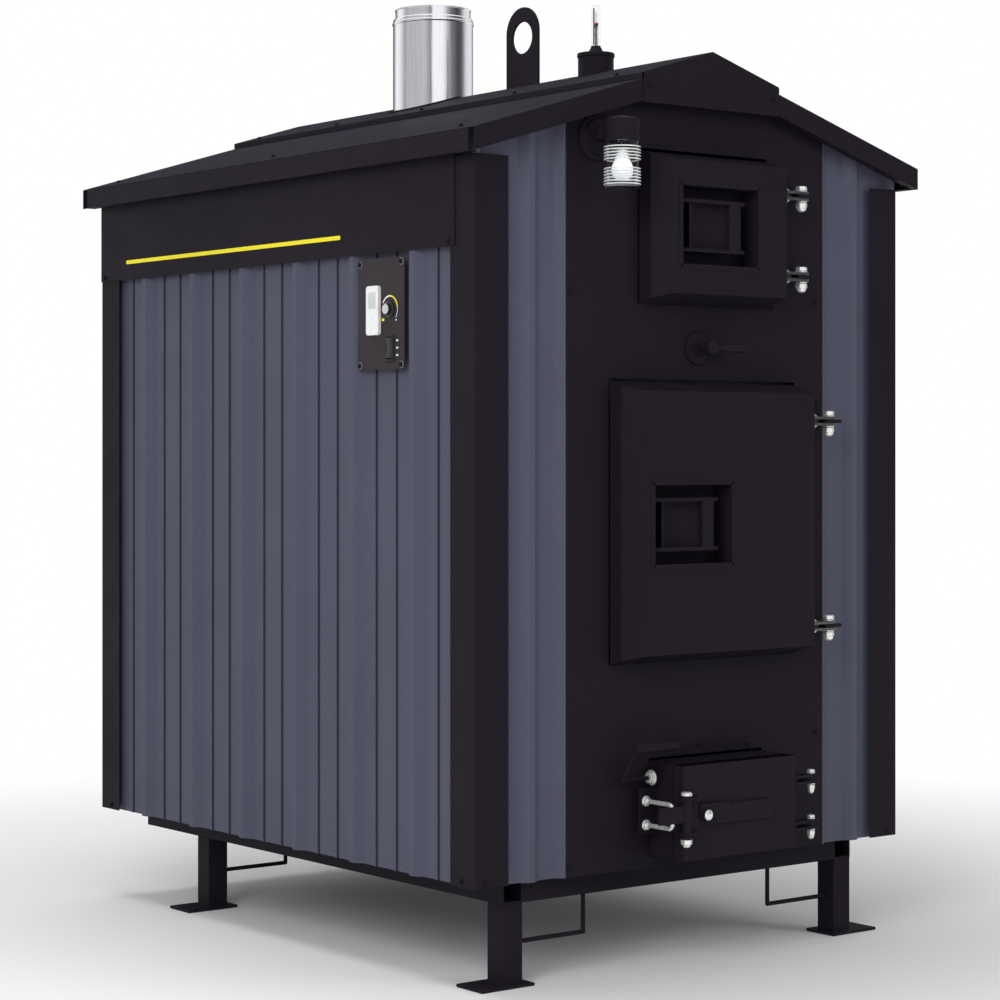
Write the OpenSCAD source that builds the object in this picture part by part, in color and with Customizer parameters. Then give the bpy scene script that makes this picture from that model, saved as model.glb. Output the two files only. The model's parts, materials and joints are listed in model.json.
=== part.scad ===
// Outdoor wood boiler: a steel firebox in a water tank, inside an insulated sheet metal jacket.
// Millimetres, +Z up, +X to the right seen from the doors, which face -Y.
// The origin is on the ground under the middle of the boiler.

/* [Jacket] */
// Width across the corner trims
body_w = 1260; // [1200:10:1600]
// Length from the front corner trims to the rear ones
body_l = 1580; // [1480:10:2000]
// Height of the walls from the base frame to the eaves
wall_h = 1536; // [1520:4:1900]
// Rise of the roof over one unit of run
roof_slope = 0.3036; // [0.26:0.01:0.34]
// Overhang of the roof past each side wall
side_overhang = 33; // [24:1:60]
// Overhang of the roof past the front and rear walls
end_overhang = 41; // [24:1:60]
// Height of the eave fascias
fascia_h = 49; // [40:1:60]
// Half width of the ridge cap
cap_half_w = 207; // [190:1:240]
// Height of the ridge cap over the roof sheets
cap_rise = 14; // [10:1:20]
// Thickness of the sheet metal
sheet_t = 1.5; // [1:0.1:2]
// Height of the main ribs
rib_h = 14.5; // [10:0.5:18]
// Spacing of the main ribs
rib_pitch = 228.6; // [200:0.1:250]
// Width of the ribbed strips beside the front panel
strip_w = 157; // [140:1:180]
// Width of each flange of the corner trims
trim_w = 88; // [60:1:100]

/* [Base] */
// Height of the legs under the base frame
leg_h = 177; // [120:1:260]
// Height of the base frame beams
beam_h = 49; // [40:1:80]
// Outer width of the square leg tubes
leg_w = 54; // [40:1:70]
// Distance between the left and right leg centres
leg_spacing = 990; // [900:10:1100]
// Width of the foot plates across the boiler
foot_w = 142; // [100:1:160]
// Length of the foot plates along the boiler
foot_l = 92; // [70:1:120]
// Thickness of the foot plates
foot_t = 7; // [5:1:12]
// Radius of the bent brace rods
brace_r = 5; // [3:0.5:8]

/* [Tank and firebox] */
// Space between the outside of the walls and the water tank
wall_space = 110; // [100:1:140]
// Water space between the tank and the firebox sides
water_space = 160; // [120:5:200]
// Thickness of the tank plates
tank_t = 6; // [4:1:8]
// Thickness of the firebox plates
fire_t = 8; // [6:1:10]
// Outer height of the firebox
firebox_h = 1090; // [1060:5:1150]
// Outer radius of the fire tubes
tube_r = 30; // [24:1:32]

/* [Doors] */
// Depth of the upper and load door
door_d = 73; // [66:1:80]
// Depth of their square left edge, in front of which they slant
door_edge = 35; // [28:1:40]
// Width of the slant along the left edge
door_bevel = 34; // [25:1:40]
// Inward lean of their top and bottom faces
door_lean = 21; // [10:1:30]
// Width of the upper door
upper_w = 376; // [360:1:420]
// Height of the upper door
upper_h = 335; // [320:1:350]
// Width of the load door
load_w = 547; // [520:1:600]
// Height of the load door
load_h = 616; // [580:1:640]
// Width of the paddle pockets
pocket_w = 225; // [215:1:235]
// Height of the paddle pockets
pocket_h = 172; // [160:1:180]
// Depth of the paddle pockets
pocket_d = 58; // [54:1:58]
// Radius of the hinge bolts
bolt_r = 8; // [6:0.5:9]
// Distance of the hinge bolts in front of the wall
hinge_out = 45; // [42:1:50]
// Distance of the hinge bolts from the edge of their door
hinge_reach = 72; // [68:1:80]
// Width of the ash box
ash_w = 337; // [320:1:350]
// Height of the ash box
ash_h = 207; // [200:1:215]
// Reach of the ash box in front of the wall
ash_reach = 75; // [70:1:90]
// Depth of the ash door
ash_d = 36; // [30:1:40]

/* [Roof fittings] */
// Outer radius of the chimney pipe
flue_r = 101.6; // [90:0.1:110]
// Height of the chimney above the ridge cap
flue_h = 232; // [180:1:400]
// Radius of the chimney's top collar
collar_r = 95.5; // [85:0.5:99]
// Thickness of the lifting lug
lug_t = 6.35; // [5:0.05:16]
// Radius of the eye in the lifting lug
eye_r = 38.5; // [30:0.5:42]
// Outer radius of the vent pipe
vent_r = 42; // [36:1:48]
// Height of the vent pipe above the ridge cap
vent_h = 45; // [30:1:90]
// Height of the lifting lug above the ridge cap
lug_h = 191; // [170:1:260]
// Outer radius of the clear level tube
level_r = 10.5; // [9:0.5:12]

/* [Clearances] */
// Running clearance of a pin in its bore
run = 0.05; // [0.02:0.01:0.09]
// Gap between parts that seat on each other and move
seat = 0.3; // [0.2:0.05:0.5]
// Gap between a door and the panel around it
reveal = 6; // [4:1:8]

/* [Hidden] */
$fn = 48;

black = [0.14, 0.13, 0.15];
slate = [0.35, 0.35, 0.41];
roof_grey = [0.27, 0.27, 0.3];
zinc = [0.8, 0.8, 0.78];
steel = [0.6, 0.61, 0.63];
plate_grey = [0.4, 0.4, 0.42];
iron = [0.2, 0.2, 0.21];
foam = [0.85, 0.8, 0.6];
brick = [0.85, 0.72, 0.5];
white = [0.93, 0.93, 0.93];
glass = [0.8, 0.88, 0.9, 0.4];

// Levels and wall planes
half_w = body_w / 2;
half_l = body_l / 2;
front = -half_l;
base_z = leg_h + beam_h;
eave_z = base_z + wall_h;
edge_z = eave_z + fascia_h;
roof_half = half_w + side_overhang;
roof_end = half_l + end_overhang;
roof_t = 2;
flat_x = half_w - sheet_t - rib_h;
flat_y = half_l - sheet_t - rib_h;
back_x = flat_x - sheet_t;
back_y = flat_y - sheet_t;
panel_half = half_w - trim_w - strip_w;
function roof_z(x) = edge_z + roof_slope * (roof_half - abs(x));
function under_z(x) = roof_z(x) - roof_t;
function cap_z(x) = roof_z(x) + cap_rise;
function seat_z(x) = under_z(x) - seat;

// Jacket frame
// Gap between two wall sheets where their edges meet under a corner trim
corner_gap = 2;
frame_w = 40;
frame_t = 2;
mid_post_w = 60;
floor_t = 3;

// Water tank and firebox
tank_x = half_w - wall_space;
tank_front = front + rib_h + 2 * sheet_t + frame_w + 2.5;
tank_rear = half_l - 190;
flue_y = front + 1003;
tank_z0 = base_z + floor_t;
tank_z1 = eave_z + 28;
fire_x = tank_x - water_space;
fire_front = tank_front + 80;
fire_rear = tank_rear - 170;
fire_z0 = tank_z0 + 11;
fire_z1 = fire_z0 + firebox_h;

// Doors, by their lower left corners
upper_x = -176;
upper_z = base_z + 1238;
load_x = -260;
load_z = base_z + 450;
ash_x = -148;
ash_z = base_z + 26;
skin_t = 3;
liner_t = 4;
gasket_t = 10;
neck_inset = 55;
plug_gap = 14;
plug_d = 40;
rim_y = front + liner_t + gasket_t + seat;
ash_rim = front - ash_reach;
upper_pocket = [61, 86];
load_pocket = [64, 218];

// Smoke path: bypass throat, front chamber, rear smoke box and flue box
damper_x = -6;
damper_z = base_z + 1144;
damper_rod_r = 8;
throat = [150, 154];
chamber_x = upper_x + upper_w / 2;
chamber_x0 = chamber_x - 240;
chamber_x1 = chamber_x + 240;
chamber_l = 200;
chamber_z0 = damper_z + 50;
chamber_z1 = tank_z1 - 20;
smoke_l = 130;
smoke_z0 = fire_z1 - 330;
tube_pitch = 90;
tube_rows = [chamber_z0 + 55, chamber_z0 + 135];
tube_row_top = tank_z1 - 90;
tube_wall = 3.6;
smoke_z1 = tube_rows[1] + 65;
flue_box_half = 110;
flue_box_z0 = tank_z1 - 140;
flue_t = 2;

// Grate and its shaker
ledge_z = fire_z0 + 214;
grate_t = 20;
grate_z = ledge_z + 12;
grate_axis_z = grate_z + grate_t / 2;
grate_y = [front + 450, front + 650];
grate_window = [300, 400];
stub_r = 6;
crank_y = front - 20;
crank_z = base_z + 200;
crank_r = 4;
arm_l = 75;
link_x = ash_x + 12;

// Hinges: heights over the door's lower edge
upper_hinges = [73, 257];
load_hinges = [63, 533];
ash_hinges = [44, 147];
hinge_plate_t = 8;
plate_half = 25;
tab_t = 6;

// Roof fittings
lug_y = [front + 573, front + 697];
lug_top = cap_z(0) + lug_h;
vent_y = front + 360;
vent_top = cap_z(0) + vent_h;
fit_gap = 2;

// Ash door latch
latch_x = ash_x - 4;
latch_out = 14;
latch_y = ash_rim - ash_d - latch_out;
latch_r = 13;
latch_z = ash_z + 98;
pipe_end = -latch_y + latch_r;

// A closed prism between the heights z0 and the underside of the roof, between y0 and y1
module under_roof(z0, y0, y1) {
  along_y(y0, y1)
    polygon([
      [-half_w, z0], [half_w, z0], [half_w, seat_z(half_w)], [0, seat_z(0)], [-half_w, seat_z(half_w)]
    ]);
}

// A box from one corner to the other
module span(lo, hi) {
  translate(lo)
    cube(hi - lo);
}

// A square tube open at both ends, along the axis 0, 1 or 2
module hollow_bar(lo, hi, t, axis) {
  open = [for (i = [0:2]) i == axis ? -1 : t];
  difference() {
    span(lo, hi);
    span(lo + open, hi - open);
  }
}

module rod_x(r, x0, x1) {
  translate([x0, 0, 0])
    rotate([0, 90, 0])
      cylinder(r = r, h = x1 - x0);
}

module rod_y(r, y0, y1) {
  translate([0, y0, 0])
    rotate([-90, 0, 0])
      cylinder(r = r, h = y1 - y0);
}

module hex_z(flats, h) {
  cylinder(r = flats / 2 / cos(30), h = h, $fn = 6);
}

// Repeats its children mirrored in the plane x = 0
module both_sides() {
  children();
  mirror([1, 0, 0])
    children();
}

// Outline points of one rib, as distance along the sheet and height over it
rib_foot = 27;
rib_top = 8;
small_foot = 7.5;
small_top = 3.5;
small_h = 3.5;
function rib(c) = [[c - rib_foot, 0], [c - rib_top, rib_h], [c + rib_top, rib_h], [c + rib_foot, 0]];
function small_rib(c) = [
  [c - small_foot, 0], [c - small_top, small_h], [c + small_top, small_h], [c + small_foot, 0]
];
function rib_run(c) = concat(small_rib(c - rib_pitch / 3), rib(c), small_rib(c + rib_pitch / 3));

// Level width and run of the fold along the edge of a sheet
edge_fold = [rib_h - 4.5, 6];
// The same beside the front panel
lap_fold = [4, 18];

// A sheet with the given ribs, from u0 to u1, whose two edges are folded out to the rib height
module rib_sheet(u0, u1, ribs, h, last = edge_fold) {
  start = [[u0, rib_h], [u0 + edge_fold.x, rib_h], [u0 + edge_fold.x + edge_fold.y, 0]];
  end = [[u1 - last.x - last.y, 0], [u1 - last.x, rib_h], [u1, rib_h]];
  outer = concat(start, ribs, end);
  inner = [for (i = [len(outer) - 1:-1:0]) outer[i] - [0, sheet_t]];
  linear_extrude(h)
    polygon(concat(outer, inner));
}

// The body of an upper or load door: square on the right, slanted on the left, top and bottom
module door_block(w, h, d, edge, bevel, lean) {
  intersection() {
    linear_extrude(h)
      polygon([[0, 0], [0, -edge], [bevel, -d], [w, -d], [w, 0]]);
    rotate([90, 0, 90])
      linear_extrude(w)
        polygon([[0, 0], [-d, lean], [-d, h - lean], [0, h]]);
  }
}

module at_upper() {
  translate([upper_x, front, upper_z])
    children();
}

module at_load() {
  translate([load_x, front, load_z])
    children();
}

leg_y = [front + 73, half_l - 319];

module legs() {
  foot_out = 25;
  leg_t = 4;
  color(black)
    both_sides()
      for (y = leg_y)
        translate([leg_spacing / 2, y, 0]) {
          translate([foot_out, 0, foot_t / 2])
            cube([foot_w, foot_l, foot_t], center = true);
          translate([-leg_w / 2, -leg_w / 2, 0])
            hollow_bar([0, 0, foot_t], [leg_w, leg_w, leg_h], leg_t, 2);
        }
}

// Height of the level part of the brace rods under the base frame
brace_drop = 88;

module brace_rod() {
  drop = leg_h - brace_drop;
  inner = leg_spacing / 2 - leg_w / 2;
  bend = inner - 190;
  translate([0, 0, drop])
    rod_x(brace_r, bend, inner);
  translate([bend, 0, drop])
    sphere(brace_r);
  translate([bend, 0, drop])
    cylinder(r = brace_r, h = leg_h - drop);
}

module base_frame() {
  beam_t = 4;
  x1 = leg_spacing / 2 + leg_w / 2;
  x0 = x1 - leg_w;
  end = half_l - 46;
  color(black) {
    both_sides()
      hollow_bar([x0, -end, leg_h], [x1, end, base_z], beam_t, 1);
    for (y = [leg_y[0] - leg_w / 2, leg_y[1] - leg_w / 2, half_l - 100])
      hollow_bar([-x0, y, leg_h], [x0, y + leg_w, base_z], beam_t, 0);
    both_sides()
      for (y = leg_y)
        translate([0, y, 0])
          brace_rod();
  }
}

// Floor pan, posts, rails and rafters, screwed together at their ends
module jacket_frame() {
  low = base_z + floor_t;
  post_z = low + seat;
  rail_top = seat_z(back_x);
  mid = load_x + load_w + hinge_reach + plate_half + 21;
  mid_rafter = (lug_y[1] + flue_y - flue_r - frame_w) / 2;
  post_y = [-back_y, back_y - frame_w];
  color(plate_grey) {
    span([-back_x, -back_y, base_z], [back_x, back_y, low]);
    both_sides() {
      for (y = post_y)
        hollow_bar([back_x - frame_w, y, post_z], [back_x, y + frame_w, rail_top], frame_t, 2);
      for (z = [post_z, rail_top - frame_w])
        hollow_bar([back_x - frame_w, post_y[0] + frame_w + seat, z],
                   [back_x, post_y[1] - seat, z + frame_w], frame_t, 1);
      hollow_bar([mid - mid_post_w, -back_y, post_z],
                 [mid, -back_y + frame_w, seat_z(mid) - rafter_drop - seat], frame_t, 2);
      for (y = [post_y[0], mid_rafter, post_y[1]])
        rafter(y);
    }
  }
}

// Upright height of a rafter
rafter_drop = 52;

// A rafter of the right half, from the ridge to the side rail
module rafter(y) {
  x0 = back_x - frame_w - seat;
  x1 = seat;
  along_y(y, y + frame_w)
    polygon([
      [x1, seat_z(x1)], [x0, seat_z(x0)], [x0, seat_z(x0) - rafter_drop], [x1, seat_z(x1) - rafter_drop]
    ]);
}

// Control plate, on the left wall
plate_y = [front + 251, front + 427];
plate_z = [base_z + 1092, base_z + 1335];
plate_t = 3;
plate_x = -half_w + sheet_t - plate_t;
box_inset = 20;

module side_panel() {
  inset = 229;
  first = front + inset;
  count = floor((body_l - inset - 158) / rib_pitch) + 1;
  ribs = [for (k = [0:count - 1]) each rib_run(first + k * rib_pitch)];
  edge = half_l - sheet_t - corner_gap;
  translate([flat_x, 0, base_z])
    rotate([0, 0, 90])
      mirror([0, 1, 0])
        rib_sheet(-edge, edge, ribs, wall_h + 15);
}

module side_panels() {
  color(slate) {
    side_panel();
    difference() {
      mirror([1, 0, 0])
        side_panel();
      span([-half_w, plate_y[0] + box_inset - seat, plate_z[0] + box_inset - seat],
           [-back_x + 1, plate_y[1] - box_inset + seat, plate_z[1] - box_inset + seat]);
    }
  }
}

module rear_panel() {
  count = floor((body_w - 200) / rib_pitch);
  ribs = [for (k = [0:count - 1]) each rib_run((k - (count - 1) / 2) * rib_pitch)];
  color(slate)
    intersection() {
      difference() {
        translate([0, flat_y, base_z + floor_t])
          rib_sheet(-half_w + sheet_t + corner_gap, half_w - sheet_t - corner_gap, ribs, roof_z(0));
        for (p = pipes)
          translate([p[0], 0, p[1]])
            rod_y(pipe_r + fit_gap, flat_y - 10, half_l + 10);
        translate([blower_x, 0, blower_z])
          rod_y(motor_r + fit_gap, flat_y - 10, half_l + 10);
      }
      under_roof(base_z, flat_y - 10, half_l + 10);
    }
}

module front_rib_strips() {
  u0 = -half_w + sheet_t + corner_gap;
  u1 = -panel_half - seat;
  color(slate)
    intersection() {
      translate([0, -flat_y, base_z])
        mirror([0, 1, 0]) {
          rib_sheet(u0, u1, rib(u1 - 92), roof_z(0), lap_fold);
          mirror([1, 0, 0])
            rib_sheet(u0, u1, rib(u1 - 107), roof_z(0), lap_fold);
        }
      under_roof(base_z, front - 10, -flat_y + 10);
    }
}

// Openings in the front panel for the doors, the ash box, the hinge plates and the damper rod
module panel_cutouts() {
  y0 = front - 10;
  y1 = -back_y;
  span([upper_x - reveal, y0, upper_z - seat], [upper_x + upper_w + reveal, y1, upper_z + upper_h + reveal]);
  span([load_x - reveal, y0, load_z - seat], [load_x + load_w + reveal, y1, load_z + load_h + reveal]);
  span([ash_x - fit_gap, y0, ash_z - fit_gap], [ash_x + ash_w + fit_gap, y1, ash_z + ash_h + reveal]);
  for (z = upper_hinges)
    hinge_slot(upper_x + upper_w + hinge_reach, upper_z + z);
  for (z = load_hinges)
    hinge_slot(load_x + load_w + hinge_reach, load_z + z);
  translate([damper_x, 0, damper_z])
    rod_y(sleeve_r + fit_gap, y0, y1);
}

module hinge_slot(x, z) {
  half = plate_half + fit_gap;
  rise = hinge_plate_t / 2 + fit_gap;
  span([x - half, front - 10, z - rise], [x + half, -back_y, z + rise]);
}

module front_panel() {
  color(black)
    difference() {
      intersection() {
        difference() {
          span([-panel_half, front, base_z], [panel_half, -back_y, roof_z(0)]);
          span([-panel_half + sheet_t, front + sheet_t, base_z - 1],
               [panel_half - sheet_t, -back_y + 1, roof_z(0) + 1]);
        }
        under_roof(base_z, front - 1, -back_y + 1);
      }
      panel_cutouts();
    }
}

module corner_trims() {
  color(black)
    for (sx = [-1, 1], sy = [-1, 1])
      at_corner(sx, sy)
        difference() {
          span([half_w - trim_w, half_l - trim_w, base_z], [half_w, half_l, eave_z]);
          span([half_w - trim_w - 1, half_l - trim_w - 1, base_z - 1],
               [half_w - sheet_t, half_l - sheet_t, eave_z + 1]);
        }
}

// Mirrors its children to the corner with the signs sx and sy
module at_corner(sx, sy) {
  mirror([sx < 0 ? 1 : 0, 0, 0])
    mirror([0, sy < 0 ? 1 : 0, 0])
      children();
}

board_h = 197;
board_t = 3;
board_y = [front + 70, half_l];
board_z = eave_z + 8 - board_h;

module sign_boards() {
  color(black)
    both_sides()
      span([half_w, board_y[0], board_z], [half_w + board_t, board_y[1], board_z + board_h]);
}

// What passes through the roof: chimney, lug and vent pipe, with a gap around each
module roof_holes() {
  z0 = eave_z;
  translate([0, flue_y, z0])
    cylinder(r = flue_r + fit_gap, h = 400);
  translate([0, vent_y, z0])
    cylinder(r = vent_r + fit_gap, h = 400);
  span([-lug_t / 2 - fit_gap, lug_y[0] - fit_gap, z0], [lug_t / 2 + fit_gap, lug_y[1] + fit_gap, z0 + 400]);
}

// Extrudes an outline in the XZ plane from y0 to y1
module along_y(y0, y1) {
  translate([0, y1, 0])
    rotate([90, 0, 0])
      linear_extrude(y1 - y0)
        children();
}

ridge_gap = 8;

module roof_panels() {
  color(roof_grey)
    difference() {
      both_sides()
        along_y(-roof_end, roof_end)
          polygon([
            [ridge_gap, roof_z(ridge_gap)], [roof_half, edge_z],
            [roof_half, edge_z - roof_t], [ridge_gap, under_z(ridge_gap)]
          ]);
      roof_holes();
    }
}

module ridge_cap() {
  w = cap_half_w;
  v = cap_half_w - roof_t;
  color(roof_grey)
    difference() {
      along_y(-roof_end, roof_end)
        polygon([
          [-w, roof_z(w) + seat], [-w, cap_z(w)], [0, cap_z(0)], [w, cap_z(w)], [w, roof_z(w) + seat],
          [v, roof_z(v) + seat], [v, cap_z(v) - roof_t], [0, cap_z(0) - roof_t],
          [-v, cap_z(v) - roof_t], [-v, roof_z(v) + seat]
        ]);
      roof_holes();
    }
}

fascia_t = 2;
fascia_lip = 22;
peak_half = 202;
peak_t = 3;
peak_drop = 52;

// The sloped fascia of the right half at the front
module gable_fascia() {
  x0 = peak_half - 12;
  x1 = roof_half;
  h = fascia_h;
  along_y(-roof_end, -roof_end + fascia_t)
    polygon([[x0, under_z(x0)], [x1, under_z(x1)], [x1, roof_z(x1) - h], [x0, roof_z(x0) - h]]);
  along_y(-roof_end + fascia_t, -roof_end + fascia_lip)
    polygon([
      [x0, roof_z(x0) - h + fascia_t], [x1, roof_z(x1) - h + fascia_t],
      [x1, roof_z(x1) - h], [x0, roof_z(x0) - h]
    ]);
}

module peak_plate() {
  p = peak_half;
  along_y(-roof_end - peak_t, -roof_end)
    polygon([
      [-p, roof_z(p) - peak_drop], [p, roof_z(p) - peak_drop], [p, cap_z(p)], [0, cap_z(0)], [-p, cap_z(p)]
    ]);
}

module roof_fascias() {
  x1 = roof_half;
  y1 = roof_end - fascia_lip;
  color(black) {
    both_sides() {
      span([x1 - fascia_t, -y1, eave_z], [x1, y1, edge_z - roof_t]);
      span([x1 - fascia_lip, -y1, eave_z], [x1 - fascia_t, y1, eave_z + fascia_t]);
      gable_fascia();
      mirror([0, 1, 0])
        gable_fascia();
    }
    peak_plate();
    mirror([0, 1, 0])
      peak_plate();
  }
}

screw_r = 8;
washer_h = 1.5;
screw_flats = 8;
screw_h = 6;

// A hexagon washer head screw standing on the plane z = 0
module screw() {
  cylinder(r = screw_r, h = washer_h);
  hex_z(screw_flats, screw_h);
}

module screw_front(x, y, z) {
  translate([x, y, z])
    rotate([90, 0, 0])
      screw();
}

module screw_left(x, y, z) {
  translate([x, y, z])
    rotate([0, -90, 0])
      screw();
}

// Screws in the left half of a roof surface that lies rise above the sheets
module roof_screw(x, y, rise) {
  translate([x, y, roof_z(x) + rise])
    rotate([0, -atan(roof_slope), 0])
      screw();
}

module sheet_screws() {
  right = upper_x + upper_w;
  panel_screws = [
    [-panel_half + 10, upper_z + 20], [panel_half - 24, upper_z + 20], [right + 22, upper_z + 1],
    [panel_half - 22, load_z + load_h - 38], [panel_half - 24, base_z + 263], [-2, base_z + 260],
    [145, base_z + 252], [-panel_half + 6, base_z + 23]
  ];
  trim_x = half_w - trim_w / 2 + 14;
  low_z = base_z + 12;
  cap_rows = floor(body_l / 362);
  color(black) {
    for (p = panel_screws)
      screw_front(p.x, front, p.y);
    both_sides() {
      screw_front(-trim_x, front, low_z);
      screw_front(-peak_half + 15, -roof_end - peak_t, roof_z(peak_half) - 14);
      for (y = [front + 49, half_l - 49])
        screw_left(-half_w, y, low_z);
      for (y = [board_y[0] + 20, board_y[1] - 20])
        screw_left(-half_w - board_t, y, board_z + 10);
      for (k = [-1:1])
        roof_screw(-roof_half + 45, k * (half_l - 65), 0);
      for (k = [0:cap_rows])
        roof_screw(-cap_half_w + 16, (k - cap_rows / 2) * (body_l - 120) / cap_rows, cap_rise);
    }
    for (y = [plate_y[0] + 10, plate_y[1] - 10], z = [plate_z[0] + 10, plate_z[1] - 10])
      screw_left(plate_x, y, z);
  }
}

module insulation() {
  t = wall_space - frame_w - rib_h - 2 * sheet_t - 2 * seat;
  x1 = tank_x + seat + t;
  y0 = front + 18;
  z1 = tank_z1 - 20;
  color(foam) {
    both_sides()
      span([tank_x + seat, y0 + frame_w + 1, tank_z0], [x1, tank_rear, z1]);
    difference() {
      span([-x1, tank_rear + seat, tank_z0], [x1, tank_rear + 50, z1]);
      for (p = pipes)
        translate([p[0], 0, p[1]])
          rod_y(pipe_r + fit_gap, tank_rear - 1, tank_rear + 60);
      translate([blower_x, 0, blower_z])
        rod_y(duct_r + fit_gap, tank_rear - 1, tank_rear + 60);
    }
  }
}

// Rear connections as [x, z]: return, supply and drain
pipe_r = 16.7;
pipes = [[250, base_z + 110], [350, base_z + 1200], [60, base_z + 40]];
pipe_wall = 3.4;
blower_x = -200;
blower_z = base_z + 300;
duct_r = 40;
motor_r = 45;
sleeve_r = 14;
collar_wall = 4;

// Outer corners of the neck of a door that has its lower left corner at (x, z); necks end at the vessel
neck_y1 = fire_front - seat;
function neck_lo(x, z, y) = [x + neck_inset - fire_t, y, z + neck_inset - fire_t];
function neck_hi(x, z, w, h, y) = [x + w - neck_inset + fire_t, y, z + h - neck_inset + fire_t];
upper_neck = [neck_lo(upper_x, upper_z, rim_y), neck_hi(upper_x, upper_z, upper_w, upper_h, neck_y1)];
load_neck = [neck_lo(load_x, load_z, rim_y), neck_hi(load_x, load_z, load_w, load_h, neck_y1)];
ash_neck = [[ash_x, ash_rim, ash_z], [ash_x + ash_w, neck_y1, ash_z + ash_h]];
sleeve_y = -back_y - 2;

module grown(box, gap) {
  span(box[0] - [gap, 0, gap], box[1] + [gap, 1, gap]);
}

module water_tank() {
  color(plate_grey)
    difference() {
      span([-tank_x, tank_front, tank_z0], [tank_x, tank_rear, tank_z1]);
      span([-tank_x + tank_t, tank_front + tank_t, tank_z0 + tank_t],
           [tank_x - tank_t, tank_rear - tank_t, tank_z1 - tank_t]);
      for (neck = [upper_neck, load_neck, ash_neck])
        grown(neck, seat);
      translate([damper_x, 0, damper_z])
        rod_y(sleeve_r + seat, tank_front - 1, tank_front + tank_t + 1);
      translate([blower_x, 0, blower_z])
        rod_y(duct_r + seat, tank_rear - tank_t - 1, tank_rear + 1);
      for (p = pipes)
        translate([p[0], 0, p[1]])
          rod_y(pipe_r - pipe_wall, tank_rear - tank_t - 1, tank_rear + 1);
      translate([0, flue_y, tank_z1 - tank_t - 1])
        cylinder(r = flue_r - flue_t, h = tank_t + 2);
      translate([0, vent_y, tank_z1 - tank_t - 1])
        cylinder(r = vent_r - 20, h = tank_t + 2);
    }
}

chamber_y1 = fire_front + chamber_l;
flue_box_y = [flue_y - flue_box_half, flue_y + flue_box_half];
throat_y1 = fire_front + throat[1] + 2 * fire_t;
throat_half = throat[0] / 2;
smoke_y0 = fire_rear + seat;

// The outer boxes of the gas spaces, which fire_t plates enclose
gas_boxes = [
  [[-fire_x, fire_front, fire_z0], [fire_x, fire_rear, fire_z1]],
  [[chamber_x0, fire_front, chamber_z0], [chamber_x1, chamber_y1, chamber_z1]],
  [[chamber_x0, smoke_y0, smoke_z0], [chamber_x1, fire_rear + smoke_l, smoke_z1]],
  [[chamber_x0, flue_box_y[0], flue_box_z0], [chamber_x1, flue_box_y[1], tank_z1 - tank_t]]
];

// The hole pattern of the fire tubes: [x, z] of each tube in the rows with the heights zs
function tube_grid(zs) = [for (z = zs, k = [-2:2]) [chamber_x + k * tube_pitch, z]];

module gas_openings() {
  for (box = gas_boxes)
    span(box[0] + [fire_t, fire_t, fire_t], box[1] - [fire_t, fire_t, fire_t]);
  for (neck = [upper_neck, load_neck, ash_neck])
    span(neck[0] + [fire_t, -1, fire_t], neck[1] + [-fire_t, fire_t + 1, -fire_t]);
  span([damper_x - throat_half, fire_front + fire_t, fire_z1 - fire_t - 1],
       [damper_x + throat_half, throat_y1 - fire_t, chamber_z0 + fire_t + 1]);
  span([chamber_x0 + 2 * fire_t, fire_rear - fire_t - 1, smoke_z0 + 2 * fire_t],
       [chamber_x1 - 2 * fire_t, smoke_y0 + fire_t + 1, fire_z1 - 3 * fire_t]);
  for (p = tube_grid(tube_rows))
    translate([p.x, 0, p.y]) {
      rod_y(tube_r - tube_wall, chamber_y1 - fire_t - 1, chamber_y1 + 1);
      rod_y(tube_r - tube_wall, smoke_y0 - 1, smoke_y0 + fire_t + 1);
    }
  for (p = tube_grid([tube_row_top]))
    translate([p.x, 0, p.y]) {
      rod_y(tube_r - tube_wall, chamber_y1 - fire_t - 1, chamber_y1 + 1);
      rod_y(tube_r - tube_wall, flue_box_y[0] - 1, flue_box_y[0] + fire_t + 1);
    }
  translate([0, flue_y, tank_z1 - tank_t - fire_t - 1])
    cylinder(r = flue_r - flue_t - seat - collar_wall, h = 100);
  translate([blower_x, 0, blower_z])
    rod_y(duct_r - collar_wall, fire_rear - fire_t - 1, tank_rear + 100);
  translate([damper_x, 0, damper_z]) {
    rod_y(damper_rod_r + run, sleeve_y - 1, throat_y1 + 1);
    rod_y(damper_rod_r + 1, sleeve_y - 1, fire_front - 1);
  }
  translate([0, crank_y, crank_z])
    rod_x(crank_r + run, ash_x - 30, ash_x + 2 * fire_t);
}

// Slits between the plates of the firebox, which are joined by stitch welds that aren't modelled
module plate_slits() {
  x = fire_x + 1;
  y = [fire_front + fire_t, fire_rear - fire_t - seat];
  z = [fire_z0 + fire_t, fire_z1 - fire_t - seat];
  for (at = y)
    span([-x, at, fire_z0 - 1], [x, at + seat, fire_z1 + 0.1]);
  for (at = z)
    span([-x, y[0], at], [x, y[1], at + seat]);
}

boss_r = 20;
boss_l = 12;
ledge_w = 30;

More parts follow.
